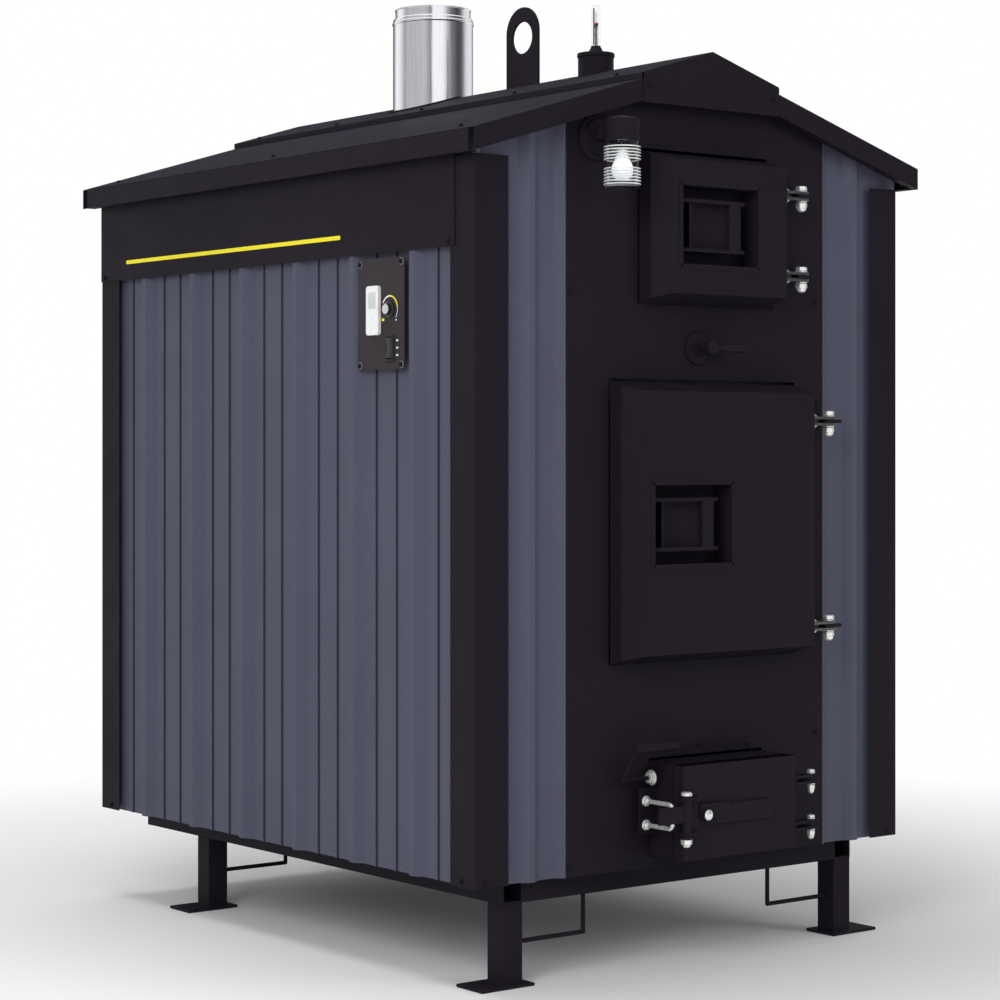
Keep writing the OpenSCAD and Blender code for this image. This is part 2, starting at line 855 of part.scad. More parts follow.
// Firebox, door necks, throat, smoke boxes and air duct, each welded up on its own
module firebox() {
  color(plate_grey) {
    difference() {
      union() {
        for (box = gas_boxes)
          span(box[0], box[1]);
        for (neck = [upper_neck, load_neck, ash_neck])
          span(neck[0], neck[1]);
        span([damper_x - throat_half - fire_t, fire_front, fire_z1 + seat],
             [damper_x + throat_half + fire_t, throat_y1, chamber_z0 - seat]);
        translate([0, flue_y, tank_z1 - tank_t - fire_t])
          cylinder(r = flue_r - flue_t - seat, h = tank_t + fire_t + 60);
        translate([blower_x, 0, blower_z])
          rod_y(duct_r, smoke_y0, blower_y[0]);
        translate([damper_x, 0, damper_z])
          rod_y(sleeve_r, sleeve_y, fire_front + 1);
        translate([0, crank_y, crank_z])
          rod_x(boss_r, ash_x - boss_l, ash_x + 1);
      }
      gas_openings();
      plate_slits();
    }
    both_sides()
      span([fire_x - fire_t - ledge_w, fire_front + fire_t + seat, ledge_z],
           [fire_x - fire_t, fire_rear - fire_t - seat, grate_z]);
  }
}

module fire_tube(y0, y1) {
  difference() {
    rod_y(tube_r, y0, y1);
    rod_y(tube_r - tube_wall, y0 - 1, y1 + 1);
  }
}

module fire_tubes() {
  color(plate_grey) {
    for (p = tube_grid(tube_rows))
      translate([p.x, 0, p.y])
        fire_tube(chamber_y1, smoke_y0);
    for (p = tube_grid([tube_row_top]))
      translate([p.x, 0, p.y])
        fire_tube(chamber_y1, flue_box_y[0]);
  }
}

brick_h = 114;
brick_t = 32;

module firebricks() {
  rows = 3;
  count = 4;
  y0 = fire_front + fire_t + 2;
  pitch = (fire_rear - fire_t - 2 - y0) / count;
  x1 = fire_x - fire_t - seat;
  z0 = grate_z + grate_t;
  color(brick)
    both_sides()
      for (row = [0:rows - 1], k = [0:count - 1])
        translate([x1 - brick_t, y0 + k * pitch, z0 + row * (brick_h + seat)])
          cube([brick_t, pitch - 2, brick_h]);
}

module grate_frame() {
  x1 = fire_x - fire_t - 2;
  color(iron)
    difference() {
      span([-x1, fire_front + fire_t + 2, grate_z], [x1, fire_rear - fire_t - 2, grate_z + grate_t]);
      span([-grate_window[0] / 2, grate_y[0] - 100, grate_z - 1],
           [grate_window[0] / 2, grate_y[0] - 100 + grate_window[1], grate_z + grate_t + 1]);
      for (y = grate_y)
        translate([0, y, grate_axis_z])
          rod_x(stub_r + run, -grate_window[0] / 2 - 26, grate_window[0] / 2 + 26);
      for (sx = [-1, 1], k = [0:8])
        translate([sx * (fire_x - 110), fire_front + 90 + k * 110, grate_z - 1])
          span([-60, 0, 0], [60, 30, grate_t + 2]);
    }
}

pin_r = 4;
arm_w = 20;
arm_t = 8;
bar_half_y = 96;
bar_half_x = 146;
bar_t = 12;
link_t = 6;

// A swinging arm that hangs from the axis at (y, z), with its pin through the link
module hanging_arm(y, z) {
  x0 = link_x + link_t + 2;
  span([x0, y - arm_w / 2, z - arm_l - 10], [x0 + arm_t, y + arm_w / 2, z]);
  translate([0, y, z - arm_l])
    rod_x(pin_r, link_x - 2, x0);
}

module grate_bar(y) {
  slots = 5;
  color(iron)
    difference() {
      union() {
        span([-bar_half_x, y - bar_half_y, grate_axis_z - bar_t / 2],
             [bar_half_x, y + bar_half_y, grate_axis_z + bar_t / 2]);
        translate([0, y, grate_axis_z])
          rod_x(stub_r, -bar_half_x - 26, bar_half_x + 26);
        hanging_arm(y, grate_axis_z);
      }
      for (k = [0:slots - 1], side = [-1, 1])
        translate([(k - (slots - 1) / 2) * 48, y + side * 52, grate_axis_z])
          cube([14, 60, bar_t + 2], center = true);
    }
}

module grate_bar_front() {
  grate_bar(grate_y[0]);
}

module grate_bar_rear() {
  grate_bar(grate_y[1]);
}

// An eye plate of the link around the pin at (y, z), with a slot that the pin rises in
module link_eye(y, z) {
  span([link_x, y - 13, z - 14], [link_x + link_t, y + 13, z + 24]);
}

module link_slot(y, z) {
  play = 1.3;
  span([link_x - 1, y - pin_r - play, z - pin_r - seat], [link_x + link_t + 1, y + pin_r + play, z + 18]);
}

module grate_link() {
  low = crank_z - arm_l;
  high = grate_axis_z - arm_l;
  pins = [[crank_y, low], [grate_y[0], high], [grate_y[1], high]];
  bar_h = 14;
  color(iron)
    difference() {
      union() {
        for (p = pins)
          link_eye(p.x, p.y);
        translate([link_x, 0, 0])
          rotate([90, 0, 90])
            linear_extrude(link_t)
              polygon([
                [crank_y, low - bar_h], [grate_y[0], high - bar_h], [grate_y[1], high - bar_h],
                [grate_y[1], high - 4.5], [grate_y[0], high - 4.5], [crank_y, low - 4.5]
              ]);
      }
      for (p = pins)
        link_slot(p.x, p.y);
    }
}

grip_r = 11;
grip_end = ash_x - 98;
grip_tip = [front - 70, crank_z + 73];

module shaker_crank() {
  color(black) {
    hanging_arm(crank_y, crank_z);
    translate([0, crank_y, crank_z])
      rod_x(crank_r, grip_end, link_x + link_t + 3);
    translate([0, crank_y, crank_z])
      rod_x(crank_r + 3, grip_end - 6, grip_end + 6);
    translate([grip_end, crank_y, crank_z])
      rotate([atan2(crank_y - grip_tip[0], grip_tip[1] - crank_z), 0, 0])
        cylinder(r = crank_r, h = norm([crank_y - grip_tip[0], grip_tip[1] - crank_z]));
    translate([0, grip_tip[0], grip_tip[1]])
      rod_x(grip_r, grip_end - 7, grip_end + 112);
  }
}

lever_y = front - 42;
rosette_r = 38;
rosette_t = 6;

module damper_lever() {
  reach = 105;
  bar_r = 10;
  color(black)
    translate([damper_x, 0, damper_z]) {
      rod_y(damper_rod_r, lever_y, throat_y1 + 6);
      rod_y(16, lever_y - 12, lever_y + 12);
      translate([0, lever_y, 0]) {
        rod_x(bar_r, 0, reach - bar_r);
        translate([reach - bar_r, 0, 0])
          sphere(bar_r);
      }
    }
}

module damper_plate() {
  hub_r = 13;
  gap = 4;
  color(steel)
    translate([damper_x, 0, damper_z])
      difference() {
        union() {
          span([-throat_half + gap, fire_front + fire_t + gap, -3],
               [throat_half - gap, throat_y1 - fire_t - gap, 3]);
          rod_y(hub_r, fire_front + fire_t + gap, throat_y1 - fire_t - gap);
        }
        rod_y(damper_rod_r, fire_front, throat_y1);
      }
}

module damper_rosette() {
  color(black)
    translate([damper_x, 0, damper_z])
      difference() {
        union() {
          rod_y(rosette_r, front - rosette_t, front);
          rod_y(18, front - rosette_t - 6, front);
        }
        rod_y(damper_rod_r + run, front - 20, front + 1);
      }
}

module chimney_pipe() {
  collar_h = 24;
  shoulder = 10;
  top = cap_z(0) + flue_h;
  r0 = flue_r - flue_t;
  c0 = collar_r - flue_t;
  color(steel)
    translate([0, flue_y, 0])
      rotate_extrude()
        polygon([
          [r0, tank_z1], [flue_r, tank_z1], [flue_r, top - collar_h - shoulder],
          [flue_r + 3, top - collar_h - shoulder + 4], [flue_r, top - collar_h - 2],
          [collar_r, top - collar_h], [collar_r, top], [c0, top], [c0, top - collar_h],
          [r0, top - collar_h - shoulder]
        ]);
}

// A flat collar around the pipe that lies on both slopes of the ridge cap
module chimney_flashing() {
  flange = 9;
  t = 4;
  r = flue_r + flange;
  color(roof_grey)
    intersection() {
      translate([0, flue_y, cap_z(r)])
        difference() {
          cylinder(r = r, h = cap_z(0) + 2 * t - cap_z(r));
          translate([0, 0, -1])
            cylinder(r = flue_r + seat, h = cap_z(0) + 2 * t - cap_z(r) + 2);
        }
      along_y(flue_y - r - 1, flue_y + r + 1)
        polygon([
          [-r, cap_z(r) + seat], [0, cap_z(0) + seat], [r, cap_z(r) + seat],
          [r, cap_z(r) + t], [0, cap_z(0) + t], [-r, cap_z(r) + t]
        ]);
    }
}

module lifting_lug() {
  r = (lug_y[1] - lug_y[0]) / 2;
  yc = (lug_y[0] + lug_y[1]) / 2;
  eye_z = lug_top - 74;
  color(black)
    difference() {
      union() {
        span([-lug_t / 2, lug_y[0], tank_z1], [lug_t / 2, lug_y[1], lug_top - r]);
        translate([0, yc, lug_top - r])
          rod_x(r, -lug_t / 2, lug_t / 2);
      }
      translate([0, yc, eye_z])
        rod_x(eye_r, -lug_t, lug_t);
    }
}

level_wall = 2;
rod_r = 3;
cap_cone_h = 18;

module vent_pipe() {
  in_r = vent_r - 4;
  color(black)
    translate([0, vent_y, 0])
      rotate_extrude()
        polygon([
          [12, tank_z1], [vent_r, tank_z1], [vent_r, vent_top - 14], [vent_r + 2, vent_top - 12],
          [vent_r + 2, vent_top], [17.6, vent_top + 1], [level_r, vent_top + cap_cone_h],
          [rod_r + 1, vent_top + cap_cone_h], [rod_r + 1, vent_top - 4], [in_r, vent_top - 4],
          [in_r, tank_z1 + 4], [12, tank_z1 + 4]
        ]);
}

level_z0 = vent_top + cap_cone_h;
level_z1 = level_z0 + 96;

module level_tube() {
  r = level_r;
  t = level_wall;
  color(glass)
    translate([0, vent_y, 0])
      rotate_extrude()
        polygon(concat(
          [[r - t, level_z0], [r, level_z0]],
          [for (a = [0:15:90]) [r * cos(a), level_z1 - r + r * sin(a)]],
          [for (a = [90:-15:0]) [(r - t) * cos(a), level_z1 - r + (r - t) * sin(a)]]
        ));
}

module float_rod() {
  float_r = vent_r - 8;
  float_z = tank_z1 + 4 + seat;
  mark_z = level_z1 - 51;
  color("red")
    translate([0, vent_y, 0]) {
      translate([0, 0, float_z])
        cylinder(r = float_r, h = 60);
      translate([0, 0, float_z])
        cylinder(r = rod_r, h = mark_z - float_z);
      translate([0, 0, mark_z])
        cylinder(r = 6, h = 16);
    }
}

lamp_x = -302;
lamp_z = eave_z + 56;
lamp_y = front - 87;
lamp_cap_z = lamp_z - 17;

module lamp_housing() {
  cap_r = 37;
  color(black) {
    translate([lamp_x, 0, lamp_z]) {
      rod_y(50, front - 8, front);
      rod_y(40, front - 14, front - 8);
      span([-13, lamp_y, -10], [13, front - 14, 16]);
    }
    translate([lamp_x, lamp_y, lamp_cap_z])
      rotate_extrude()
        polygon([
          [0, 2], [10, 2], [10, -16], [10.5, -16], [10.5, 0], [cap_r, 0], [cap_r, 30], [cap_r - 4, 40],
          [cap_r - 14, 50], [14, 54], [6, 56], [0, 56]
        ]);
  }
}

jar_r = 40;
jar_h = 102;
jar_t = 3;

module lamp_jar() {
  z0 = lamp_cap_z - jar_h;
  z1 = lamp_cap_z - seat;
  ring = 10;
  outer = [
    for (k = [0:5]) each [[jar_r - 3, z0 + 4 + k * ring], [jar_r, z0 + 4 + (k + 0.5) * ring]],
    [jar_r - 3, z0 + 64]
  ];
  color(glass)
    translate([lamp_x, lamp_y, 0])
      rotate_extrude()
        polygon(concat(
          [[0, z0], [jar_r - 10, z0]], outer,
          [[jar_r - 3, z1], [jar_r - 3 - jar_t, z1], [jar_r - 3 - jar_t, z0 + 10], [jar_r - 12, z0 + jar_t],
           [0, z0 + jar_t]]
        ));
}

module lamp_bulb() {
  z = lamp_cap_z - 16;
  color(white)
    translate([lamp_x, lamp_y, z])
      rotate_extrude()
        polygon([
          [0, 0], [10.5, 0], [11, -8], [17, -22], [22, -32], [24, -42],
          [22, -52], [15, -61], [8, -65], [0, -66]
        ]);
}

// Heights and places on the control plate
display_y = [plate_y[0] + 87, plate_y[0] + 133];
display_z = [plate_z[0] + 76, plate_z[0] + 184];
knob_at = [plate_y[0] + 54, plate_z[0] + 131];
rocker = [21, 49];
switch_x = plate_x + 0.5;
switch_y = plate_y[0] + 51.5;
switch_z = plate_z[0] + 46.5;
bezel_rim = 4;
bezel_out = 5;
knob_shaft_r = 3;

module control_plate() {
  box_t = 2;
  pivot = [switch_x, switch_y, switch_z];
  color(steel)
    difference() {
      union() {
        span([plate_x, plate_y[0], plate_z[0]], [plate_x + plate_t, plate_y[1], plate_z[1]]);
        difference() {
          span([plate_x, plate_y[0] + box_inset, plate_z[0] + box_inset],
               [-back_x + frame_w - 4, plate_y[1] - box_inset, plate_z[1] - box_inset]);
          span([plate_x + plate_t, plate_y[0] + box_inset + box_t, plate_z[0] + box_inset + box_t],
               [-back_x + frame_w, plate_y[1] - box_inset - box_t, plate_z[1] - box_inset - box_t]);
        }
        translate([0, switch_y, switch_z])
          span([plate_x - bezel_out, -rocker.x / 2 - bezel_rim, -rocker.y / 2 - bezel_rim],
               [plate_x + plate_t + 2, rocker.x / 2 + bezel_rim, rocker.y / 2 + bezel_rim]);
      }
      translate([0, switch_y, switch_z])
        span([plate_x - 20, -rocker.x / 2, -rocker.y / 2], [plate_x + 20, rocker.x / 2, rocker.y / 2]);
      translate(pivot)
        rod_y(1.5 + run, -rocker.x / 2 - 3, rocker.x / 2 + 3);
      translate([0, knob_at.x, knob_at.y])
        rod_x(knob_shaft_r + run, plate_x - 1, plate_x + plate_t + 1);
    }
}

module control_display() {
  color(white)
    difference() {
      span([plate_x - 8, display_y[0], display_z[0]], [plate_x, display_y[1], display_z[1]]);
      span([plate_x - 9, display_y[0] + 8, display_z[0] + 64],
           [plate_x - 6, display_y[1] - 8, display_z[1] - 14]);
    }
}

module control_knob() {
  color(black)
    translate([0, knob_at.x, knob_at.y]) {
      rod_x(knob_shaft_r, plate_x - 5, plate_x + 12);
      rod_x(19, plate_x - 5, plate_x - 1);
      rod_x(13, plate_x - 13, plate_x - 5);
    }
}

module power_switch() {
  gap = 0.4;
  y = rocker.x / 2 - gap;
  z = rocker.y / 2 - 2;
  color(black)
    translate([switch_x, switch_y, switch_z]) {
      rod_y(1.5, -rocker.x / 2 - 2, rocker.x / 2 + 2);
      translate([0, y, 0])
        rotate([90, 0, 0])
          linear_extrude(2 * y)
            polygon([[2, -8], [2, 8], [-2, z], [-8, z], [-5, 0], [-8, -z], [-2, -z]]);
    }
}

// Centre height of a door's paddle over the door's lower edge
function paddle_z(pocket) = pocket[1] + pocket_h / 2;

pivot_in = 9;
pivot_y = -door_d + 24;
pivot_r = 5;
finger_w = 8;
finger_h = 12;
finger_end = -5;
drive_x = finger_w / 2 + seat + pin_r;
latch_travel = 22;
cavity_y = -door_d + pocket_d + skin_t;

// The pressed shell of a door, open at the back, with its pocket at [x, z]
module door_leaf(w, h, pocket) {
  t = skin_t;
  px = pocket[0];
  pz = pocket[1];
  pivot_x = px + pivot_in;
  difference() {
    union() {
      difference() {
        door_block(w, h, door_d, door_edge, door_bevel, door_lean);
        translate([t, 0, t])
          door_block(w - 2 * t, h - 2 * t, door_d - t, door_edge - t / 2, door_bevel, door_lean);
        span([t, -0.5, t], [w - t, 1, h - t]);
      }
      span([px - t, -door_d, pz - t], [px + pocket_w + t, cavity_y, pz + pocket_h + t]);
    }
    span([px, -door_d - 1, pz], [px + pocket_w, cavity_y - t, pz + pocket_h]);
    translate([pivot_x, pivot_y, pz - t - 1])
      cylinder(r = pivot_r + run, h = pocket_h + 2 * t + 2);
    span([pivot_x - finger_w / 2 - 2, cavity_y - t - 1, paddle_z(pocket) - finger_h / 2 - 2],
         [pivot_x + finger_w / 2 + latch_travel, cavity_y + 1, paddle_z(pocket) + finger_h / 2 + 2]);
  }
}

// Liner plate with the plug that fills the neck, hollow for the latch
module door_liner(w, h, pocket) {
  t = liner_t;
  in = neck_inset + plug_gap;
  z = paddle_z(pocket);
  x = pocket[0] + pivot_in + drive_x;
  difference() {
    union() {
      span([0, 0, 0], [w, t, h]);
      difference() {
        span([in, 0, in], [w - in, t + plug_d, h - in]);
        span([in + t, -1, in + t], [w - in - t, plug_d, h - in - t]);
      }
      span([in, 0, in], [w - in, t, h - in]);
    }
    span([x - pin_r - 1, -1, z - pin_r - 1], [x + pin_r + latch_travel, t + 1, z + pin_r + 1]);
    span([in - 1, latch_at[0] - seat, z - latch_half - seat],
         [in + t + 1, latch_at[1] + seat, z + latch_half + seat]);
  }
}

module door_gasket(w, h) {
  out = neck_inset - 11;
  in = neck_inset + 3;
  difference() {
    span([out, liner_t, out], [w - out, liner_t + gasket_t, h - out]);
    span([in, 0, in], [w - in, 2 * gasket_t, h - in]);
  }
}

latch_at = [20, 28];
latch_half = 12;
nose = 6;

// The sliding latch: its nose looks out of the plug, and its drive pin reaches the paddle's finger
module door_latch(pocket) {
  z = paddle_z(pocket);
  x = pocket[0] + pivot_in + drive_x;
  span([neck_inset + plug_gap - nose, latch_at[0], z - latch_half], [x + 18, latch_at[1], z + latch_half]);
  translate([x, 0, z])
    rod_y(pin_r, cavity_y + 2, latch_at[1]);
}

// The pull paddle with its pivot pin, in a door's pocket
module door_paddle(pocket) {
  arm_h = 8;
  arm_in = 28;
  lo = pocket[1] + arm_in;
  hi = pocket[1] + pocket_h - arm_in;
  scoop_r = 100;
  scoop_t = 3;
  scoop = [89, -84];
  translate([pocket[0] + pivot_in, pivot_y, 0]) {
    translate([0, 0, pocket[1] - skin_t])
      cylinder(r = pivot_r, h = pocket_h + 2 * skin_t);
    for (z = [lo, hi - arm_h])
      translate([0, 0, z]) {
        cylinder(r = 8, h = arm_h);
        linear_extrude(arm_h)
          polygon([[-2, -8], [20, -18], [180, -18], [180, 10], [20, 20], [-2, 8]]);
      }
    span([135, -18, lo + 1], [168, -8, hi - 1]);
    intersection() {
      difference() {
        translate([scoop.x, scoop.y, lo + 1])
          cylinder(r = scoop_r, h = hi - lo - 2);
        translate([scoop.x, scoop.y, lo])
          cylinder(r = scoop_r - scoop_t, h = hi - lo);
      }
      span([18, -12, lo], [160, 20, hi]);
    }
    span([-finger_w / 2, 0, paddle_z(pocket) - finger_h / 2],
         [finger_w / 2, finger_end - pivot_y, paddle_z(pocket) + finger_h / 2]);
  }
}

// The zinc clevis of one hinge, on the right edge of a door of width w
module clevis(w, z) {
  half = 17;
  web = 30;
  x = w + hinge_reach;
  in = hinge_plate_t / 2 + seat;
  out = in + tab_t;
  difference() {
    union() {
      for (z0 = [z + in, z - out])
        translate([0, 0, z0]) {
          span([w, -hinge_out - half, 0], [x, -hinge_out + half, tab_t]);
          translate([x, -hinge_out, 0])
            cylinder(r = half, h = tab_t);
        }
      translate([0, -hinge_out + tab_t / 2, 0])
        rotate([90, 0, 0])
          linear_extrude(tab_t)
            polygon([
              [w, z - web], [w, z + web], [w + 38, z + out - 1], [w + 38, z - out + 1]
            ]);
    }
    translate([x, -hinge_out, z - 50])
      cylinder(r = bolt_r + run, h = 100);
  }
}

module upper_door() {
  color(black)
    at_upper()
      door_leaf(upper_w, upper_h, upper_pocket);
}

module upper_door_liner() {
  color(steel)
    at_upper()
      door_liner(upper_w, upper_h, upper_pocket);
}

module upper_door_gasket() {
  color(white)
    at_upper()
      door_gasket(upper_w, upper_h);
}

module upper_door_clevises() {
  color(zinc)
    at_upper()
      for (z = upper_hinges)
        clevis(upper_w, z);
}

module upper_door_paddle() {
  color(black)
    at_upper()
      door_paddle(upper_pocket);
}

module upper_door_latch() {
  color(steel)
    at_upper()
      door_latch(upper_pocket);
}

module load_door() {
  color(black)
    at_load()
      door_leaf(load_w, load_h, load_pocket);
}

module load_door_liner() {
  color(steel)
    at_load()
      door_liner(load_w, load_h, load_pocket);
}

module load_door_gasket() {
  color(white)
    at_load()
      door_gasket(load_w, load_h);
}

module load_door_clevises() {
  color(zinc)
    at_load()
      for (z = load_hinges)
        clevis(load_w, z);
}

module load_door_paddle() {
  color(black)
    at_load()
      door_paddle(load_pocket);
}

module load_door_latch() {
  color(steel)
    at_load()
      door_latch(load_pocket);
}

ash_hinge = [ash_x + ash_w + hinge_reach, ash_rim - 12];
ash_back = ash_rim - seat;
ash_front = ash_back - ash_d;

module ash_door() {
  margin = 14;
  color(black)
    difference() {
      span([ash_x, ash_front, ash_z], [ash_x + ash_w, ash_back, ash_z + ash_h]);
      span([ash_x + margin, ash_front + 8, ash_z + margin],
           [ash_x + ash_w - margin, ash_back + 1, ash_z + ash_h - margin]);
    }
}

crossbar_t = 8;

module ash_door_fittings() {
  z = latch_z;
  tab = 6;
  tab_z = [z - 40, z + 34];
  x1 = ash_x + ash_w;
  in = hinge_plate_t / 2 + seat;
  color(black) {
    difference() {
      union() {
        span([ash_x + 38, ash_front - crossbar_t, z - 22], [ash_x + 256, ash_front, z + 19]);
        span([ash_x + 38, ash_front - crossbar_t - 4, z - 10], [ash_x + 125, ash_front, z + 24]);
        translate([ash_x + 57, 0, z])
          rod_y(15, ash_front - crossbar_t - 10, ash_front);
        span([ash_x + 14, ash_front - crossbar_t, tab_z[0]], [ash_x + 38, ash_front, tab_z[1] + tab]);
        for (z0 = tab_z)
          translate([0, 0, z0]) {
            span([latch_x - 10, latch_y - 8, 0], [ash_x + 30, ash_front, tab]);
            translate([latch_x, latch_y, 0])
              cylinder(r = 11, h = tab);
          }
      }
      translate([latch_x, latch_y, z - 60])
        cylinder(r = 6 + seat, h = 120);
    }
    translate([latch_x, latch_y, 0]) {
      translate([0, 0, tab_z[0] - 7])
        cylinder(r = 6, h = tab_z[1] + tab + 7 - tab_z[0] + 7);
      translate([0, 0, tab_z[0] - 7])
        cylinder(r = latch_r, h = 7);
      translate([0, 0, tab_z[1] + tab])
        cylinder(r = latch_r, h = 7);
    }
    for (h = ash_hinges)
      difference() {
        union() {
          for (z0 = [ash_z + h + in, ash_z + h - in - tab_t])
            translate([0, 0, z0]) {
              linear_extrude(tab_t)
                polygon([
                  [x1, ash_front + 4], [ash_hinge.x, ash_hinge.y - 16], [ash_hinge.x, ash_hinge.y + 16],
                  [x1, ash_back - 3]
                ]);
              translate([ash_hinge.x, ash_hinge.y, 0])
                cylinder(r = 16, h = tab_t);
            }
          span([x1, ash_front + 14, ash_z + h - 22], [x1 + 22, ash_front + 20, ash_z + h + 22]);
        }
        translate([ash_hinge.x, ash_hinge.y, ash_z])
          cylinder(r = bolt_r + run, h = ash_h);
      }
  }
}

module ash_toggle_lever() {
  z = latch_z;
  color(black)
    difference() {
      union() {
        span([latch_x - 80, latch_y - 4, z - 11], [latch_x, latch_y + 4, z + 25]);
        translate([latch_x, latch_y, z - 34 + seat])
          cylinder(r = 10, h = 68 - 2 * seat);
      }
      translate([latch_x, latch_y, z - 50])
        cylinder(r = 6 + run, h = 100);
    }
}

tab_x = latch_x - 29;
bolt_legs = [latch_z - 25, latch_z + 27];
stem_r = 5;
tab_y = [front - 25, front - 19];

module ash_u_bolt() {
  bend = (bolt_legs[1] - bolt_legs[0]) / 2;
  bow_y = latch_y + 8 + stem_r + bend;
  color(zinc)
    translate([tab_x, 0, 0]) {
      translate([0, bow_y, bolt_legs[0] + bend])
        rotate([0, -90, 0])
          rotate([0, 0, 180])
            rotate_extrude(angle = 180)
              translate([bend, 0])
                circle(stem_r);
      for (z = bolt_legs)
        translate([0, 0, z]) {
          rod_y(stem_r, bow_y, front - 6);
          for (y = [tab_y[0] - 9, tab_y[1]])
            translate([0, y, 0])
              rotate([-90, 0, 0])
                hex_z(16, 9);
        }
    }
}

// A bolt through the tabs and the plate of one hinge, whose middle is z = 0
module hinge_bolt() {
  tab_out = hinge_plate_t / 2 + 2 * seat + tab_t;
  tail = 24;
  washer_r = 13;
  nut_flats = 24;
  translate([0, 0, -tab_out - tail])
    cylinder(r = bolt_r, h = 2 * tab_out + tail + 10);
  translate([0, 0, tab_out])
    cylinder(r = washer_r, h = 3);
  translate([0, 0, tab_out + 3])
    cylinder(r = 12.5, h = 4);
  translate([0, 0, tab_out + 7])
    hex_z(nut_flats, 12);
  translate([0, 0, -tab_out - 3])
    cylinder(r = washer_r, h = 3);
  translate([0, 0, -tab_out - 16])
    hex_z(nut_flats, 13);
  translate([0, 0, -tab_out - 21])
    cylinder(r = 11, h = 5);
}

// Places its children at the middle of each hinge
module at_hinges() {
  for (z = upper_hinges)
    translate([upper_x + upper_w + hinge_reach, front - hinge_out, upper_z + z])
      children();
  for (z = load_hinges)
    translate([load_x + load_w + hinge_reach, front - hinge_out, load_z + z])
      children();
  for (z = ash_hinges)
    translate([ash_hinge.x, ash_hinge.y, ash_z + z])
      children();
}

module hinge_bolts() {
  color(zinc)
    at_hinges()
      hinge_bolt();
}

// The plate of a wall hinge, from the wall end at y1 to just past the bolt
module wall_plate(x, z, y1) {
  translate([x, 0, z - hinge_plate_t / 2])
    difference() {
      span([-plate_half, front - hinge_out - 18, 0], [plate_half, y1, hinge_plate_t]);
      translate([0, front - hinge_out, -1])
        cylinder(r = bolt_r + seat, h = hinge_plate_t + 2);
    }
}

module hinge_plates() {
  color(black) {
    for (z = upper_hinges)
      wall_plate(upper_x + upper_w + hinge_reach, upper_z + z, tank_front);
    for (z = load_hinges)
      wall_plate(load_x + load_w + hinge_reach, load_z + z, -back_y);
    for (z = ash_hinges)
      translate([0, 0, ash_z + z - hinge_plate_t / 2])
        difference() {
          linear_extrude(hinge_plate_t)
            polygon([
              [ash_x + ash_w, ash_rim + 15], [ash_x + ash_w, ash_rim + 60],
              [ash_x + ash_w + 35, ash_rim + 60],
              [ash_hinge.x + 18, ash_hinge.y + 10], [ash_hinge.x + 18, ash_hinge.y - 14],
              [ash_hinge.x - 14, ash_hinge.y - 14]
            ]);
          translate([ash_hinge.x, ash_hinge.y, -1])
            cylinder(r = bolt_r + seat, h = hinge_plate_t + 2);
        }
    difference() {
      span([tab_x - 17, tab_y[0], latch_z - 46], [ash_x, tab_y[1], latch_z + 55]);
      for (z = bolt_legs)
        translate([tab_x, 0, z])
          rod_y(stem_r + seat, tab_y[0] - 1, tab_y[1] + 1);
    }
  }
}

blower_r = 95;
blower_y = [tank_rear + 52, tank_rear + 122];
blower_shaft_r = 6;

module blower_housing() {
  t = 3;
  color(black)
    translate([blower_x, 0, blower_z])
      difference() {
        union() {
          rod_y(blower_r, blower_y[0], blower_y[1]);
          rod_y(motor_r, blower_y[1] - 1, half_l - 2);
        }
        rod_y(blower_r - t, blower_y[0] + t, blower_y[1] - t);
        rod_y(duct_r - collar_wall, blower_y[0] - 1, blower_y[0] + t + 1);
        rod_y(blower_shaft_r + run, blower_y[1] - t - 1, blower_y[1] + 30);
      }
}

module blower_wheel() {
  wheel_r = 80;
  blades = 16;
  y0 = blower_y[0] + 12;
  y1 = blower_y[1] - 10;
  color(steel)
    translate([blower_x, 0, blower_z]) {
      rod_y(wheel_r, y1 - 3, y1);
      rod_y(14, y1 - 20, y1);
      rod_y(blower_shaft_r, y1 - 1, blower_y[1] + 25);
      for (k = [0:blades - 1])
        rotate([0, k * 360 / blades, 0])
          span([wheel_r - 22, y0, -1], [wheel_r - 3, y1 - 2, 1]);
    }
}

// Threaded end of a supply or return pipe: its radius and length
thread_r = 16.2;
thread_l = 25;
union_flats = 41;
union_l = 36;

module water_pipes() {
  color(steel)
    for (p = pipes)
      translate([p[0], 0, p[1]])
        difference() {
          union() {
            rod_y(pipe_r, tank_rear, p == pipes[2] ? half_l + 60 : pipe_end - thread_l);
            if (p != pipes[2])
              rod_y(thread_r, pipe_end - thread_l - 1, pipe_end);
            translate([0, half_l + 10, 0])
              rotate([-90, 0, 0])
                hex_z(union_flats, union_l);
          }
          rod_y(pipe_r - pipe_wall, tank_rear - 1, pipe_end + 1);
        }
}

legs();
base_frame();
jacket_frame();
side_panels();
rear_panel();
front_rib_strips();
front_panel();
corner_trims();
sign_boards();
roof_panels();
ridge_cap();
roof_fascias();
sheet_screws();
insulation();
water_tank();
firebox();
fire_tubes();
firebricks();
grate_frame();
grate_bar_front();
grate_bar_rear();
grate_link();
shaker_crank();
damper_lever();
damper_plate();
damper_rosette();
chimney_pipe();
chimney_flashing();
lifting_lug();
vent_pipe();
level_tube();
float_rod();
lamp_housing();
lamp_jar();
lamp_bulb();
control_plate();
control_display();
control_knob();
power_switch();
upper_door();
upper_door_liner();
upper_door_gasket();
upper_door_clevises();
upper_door_paddle();
upper_door_latch();
load_door();
load_door_liner();
load_door_gasket();
load_door_clevises();
load_door_paddle();
load_door_latch();
ash_door();
ash_door_fittings();
ash_toggle_lever();
ash_u_bolt();
hinge_bolts();
hinge_plates();
blower_housing();
blower_wheel();
water_pipes();
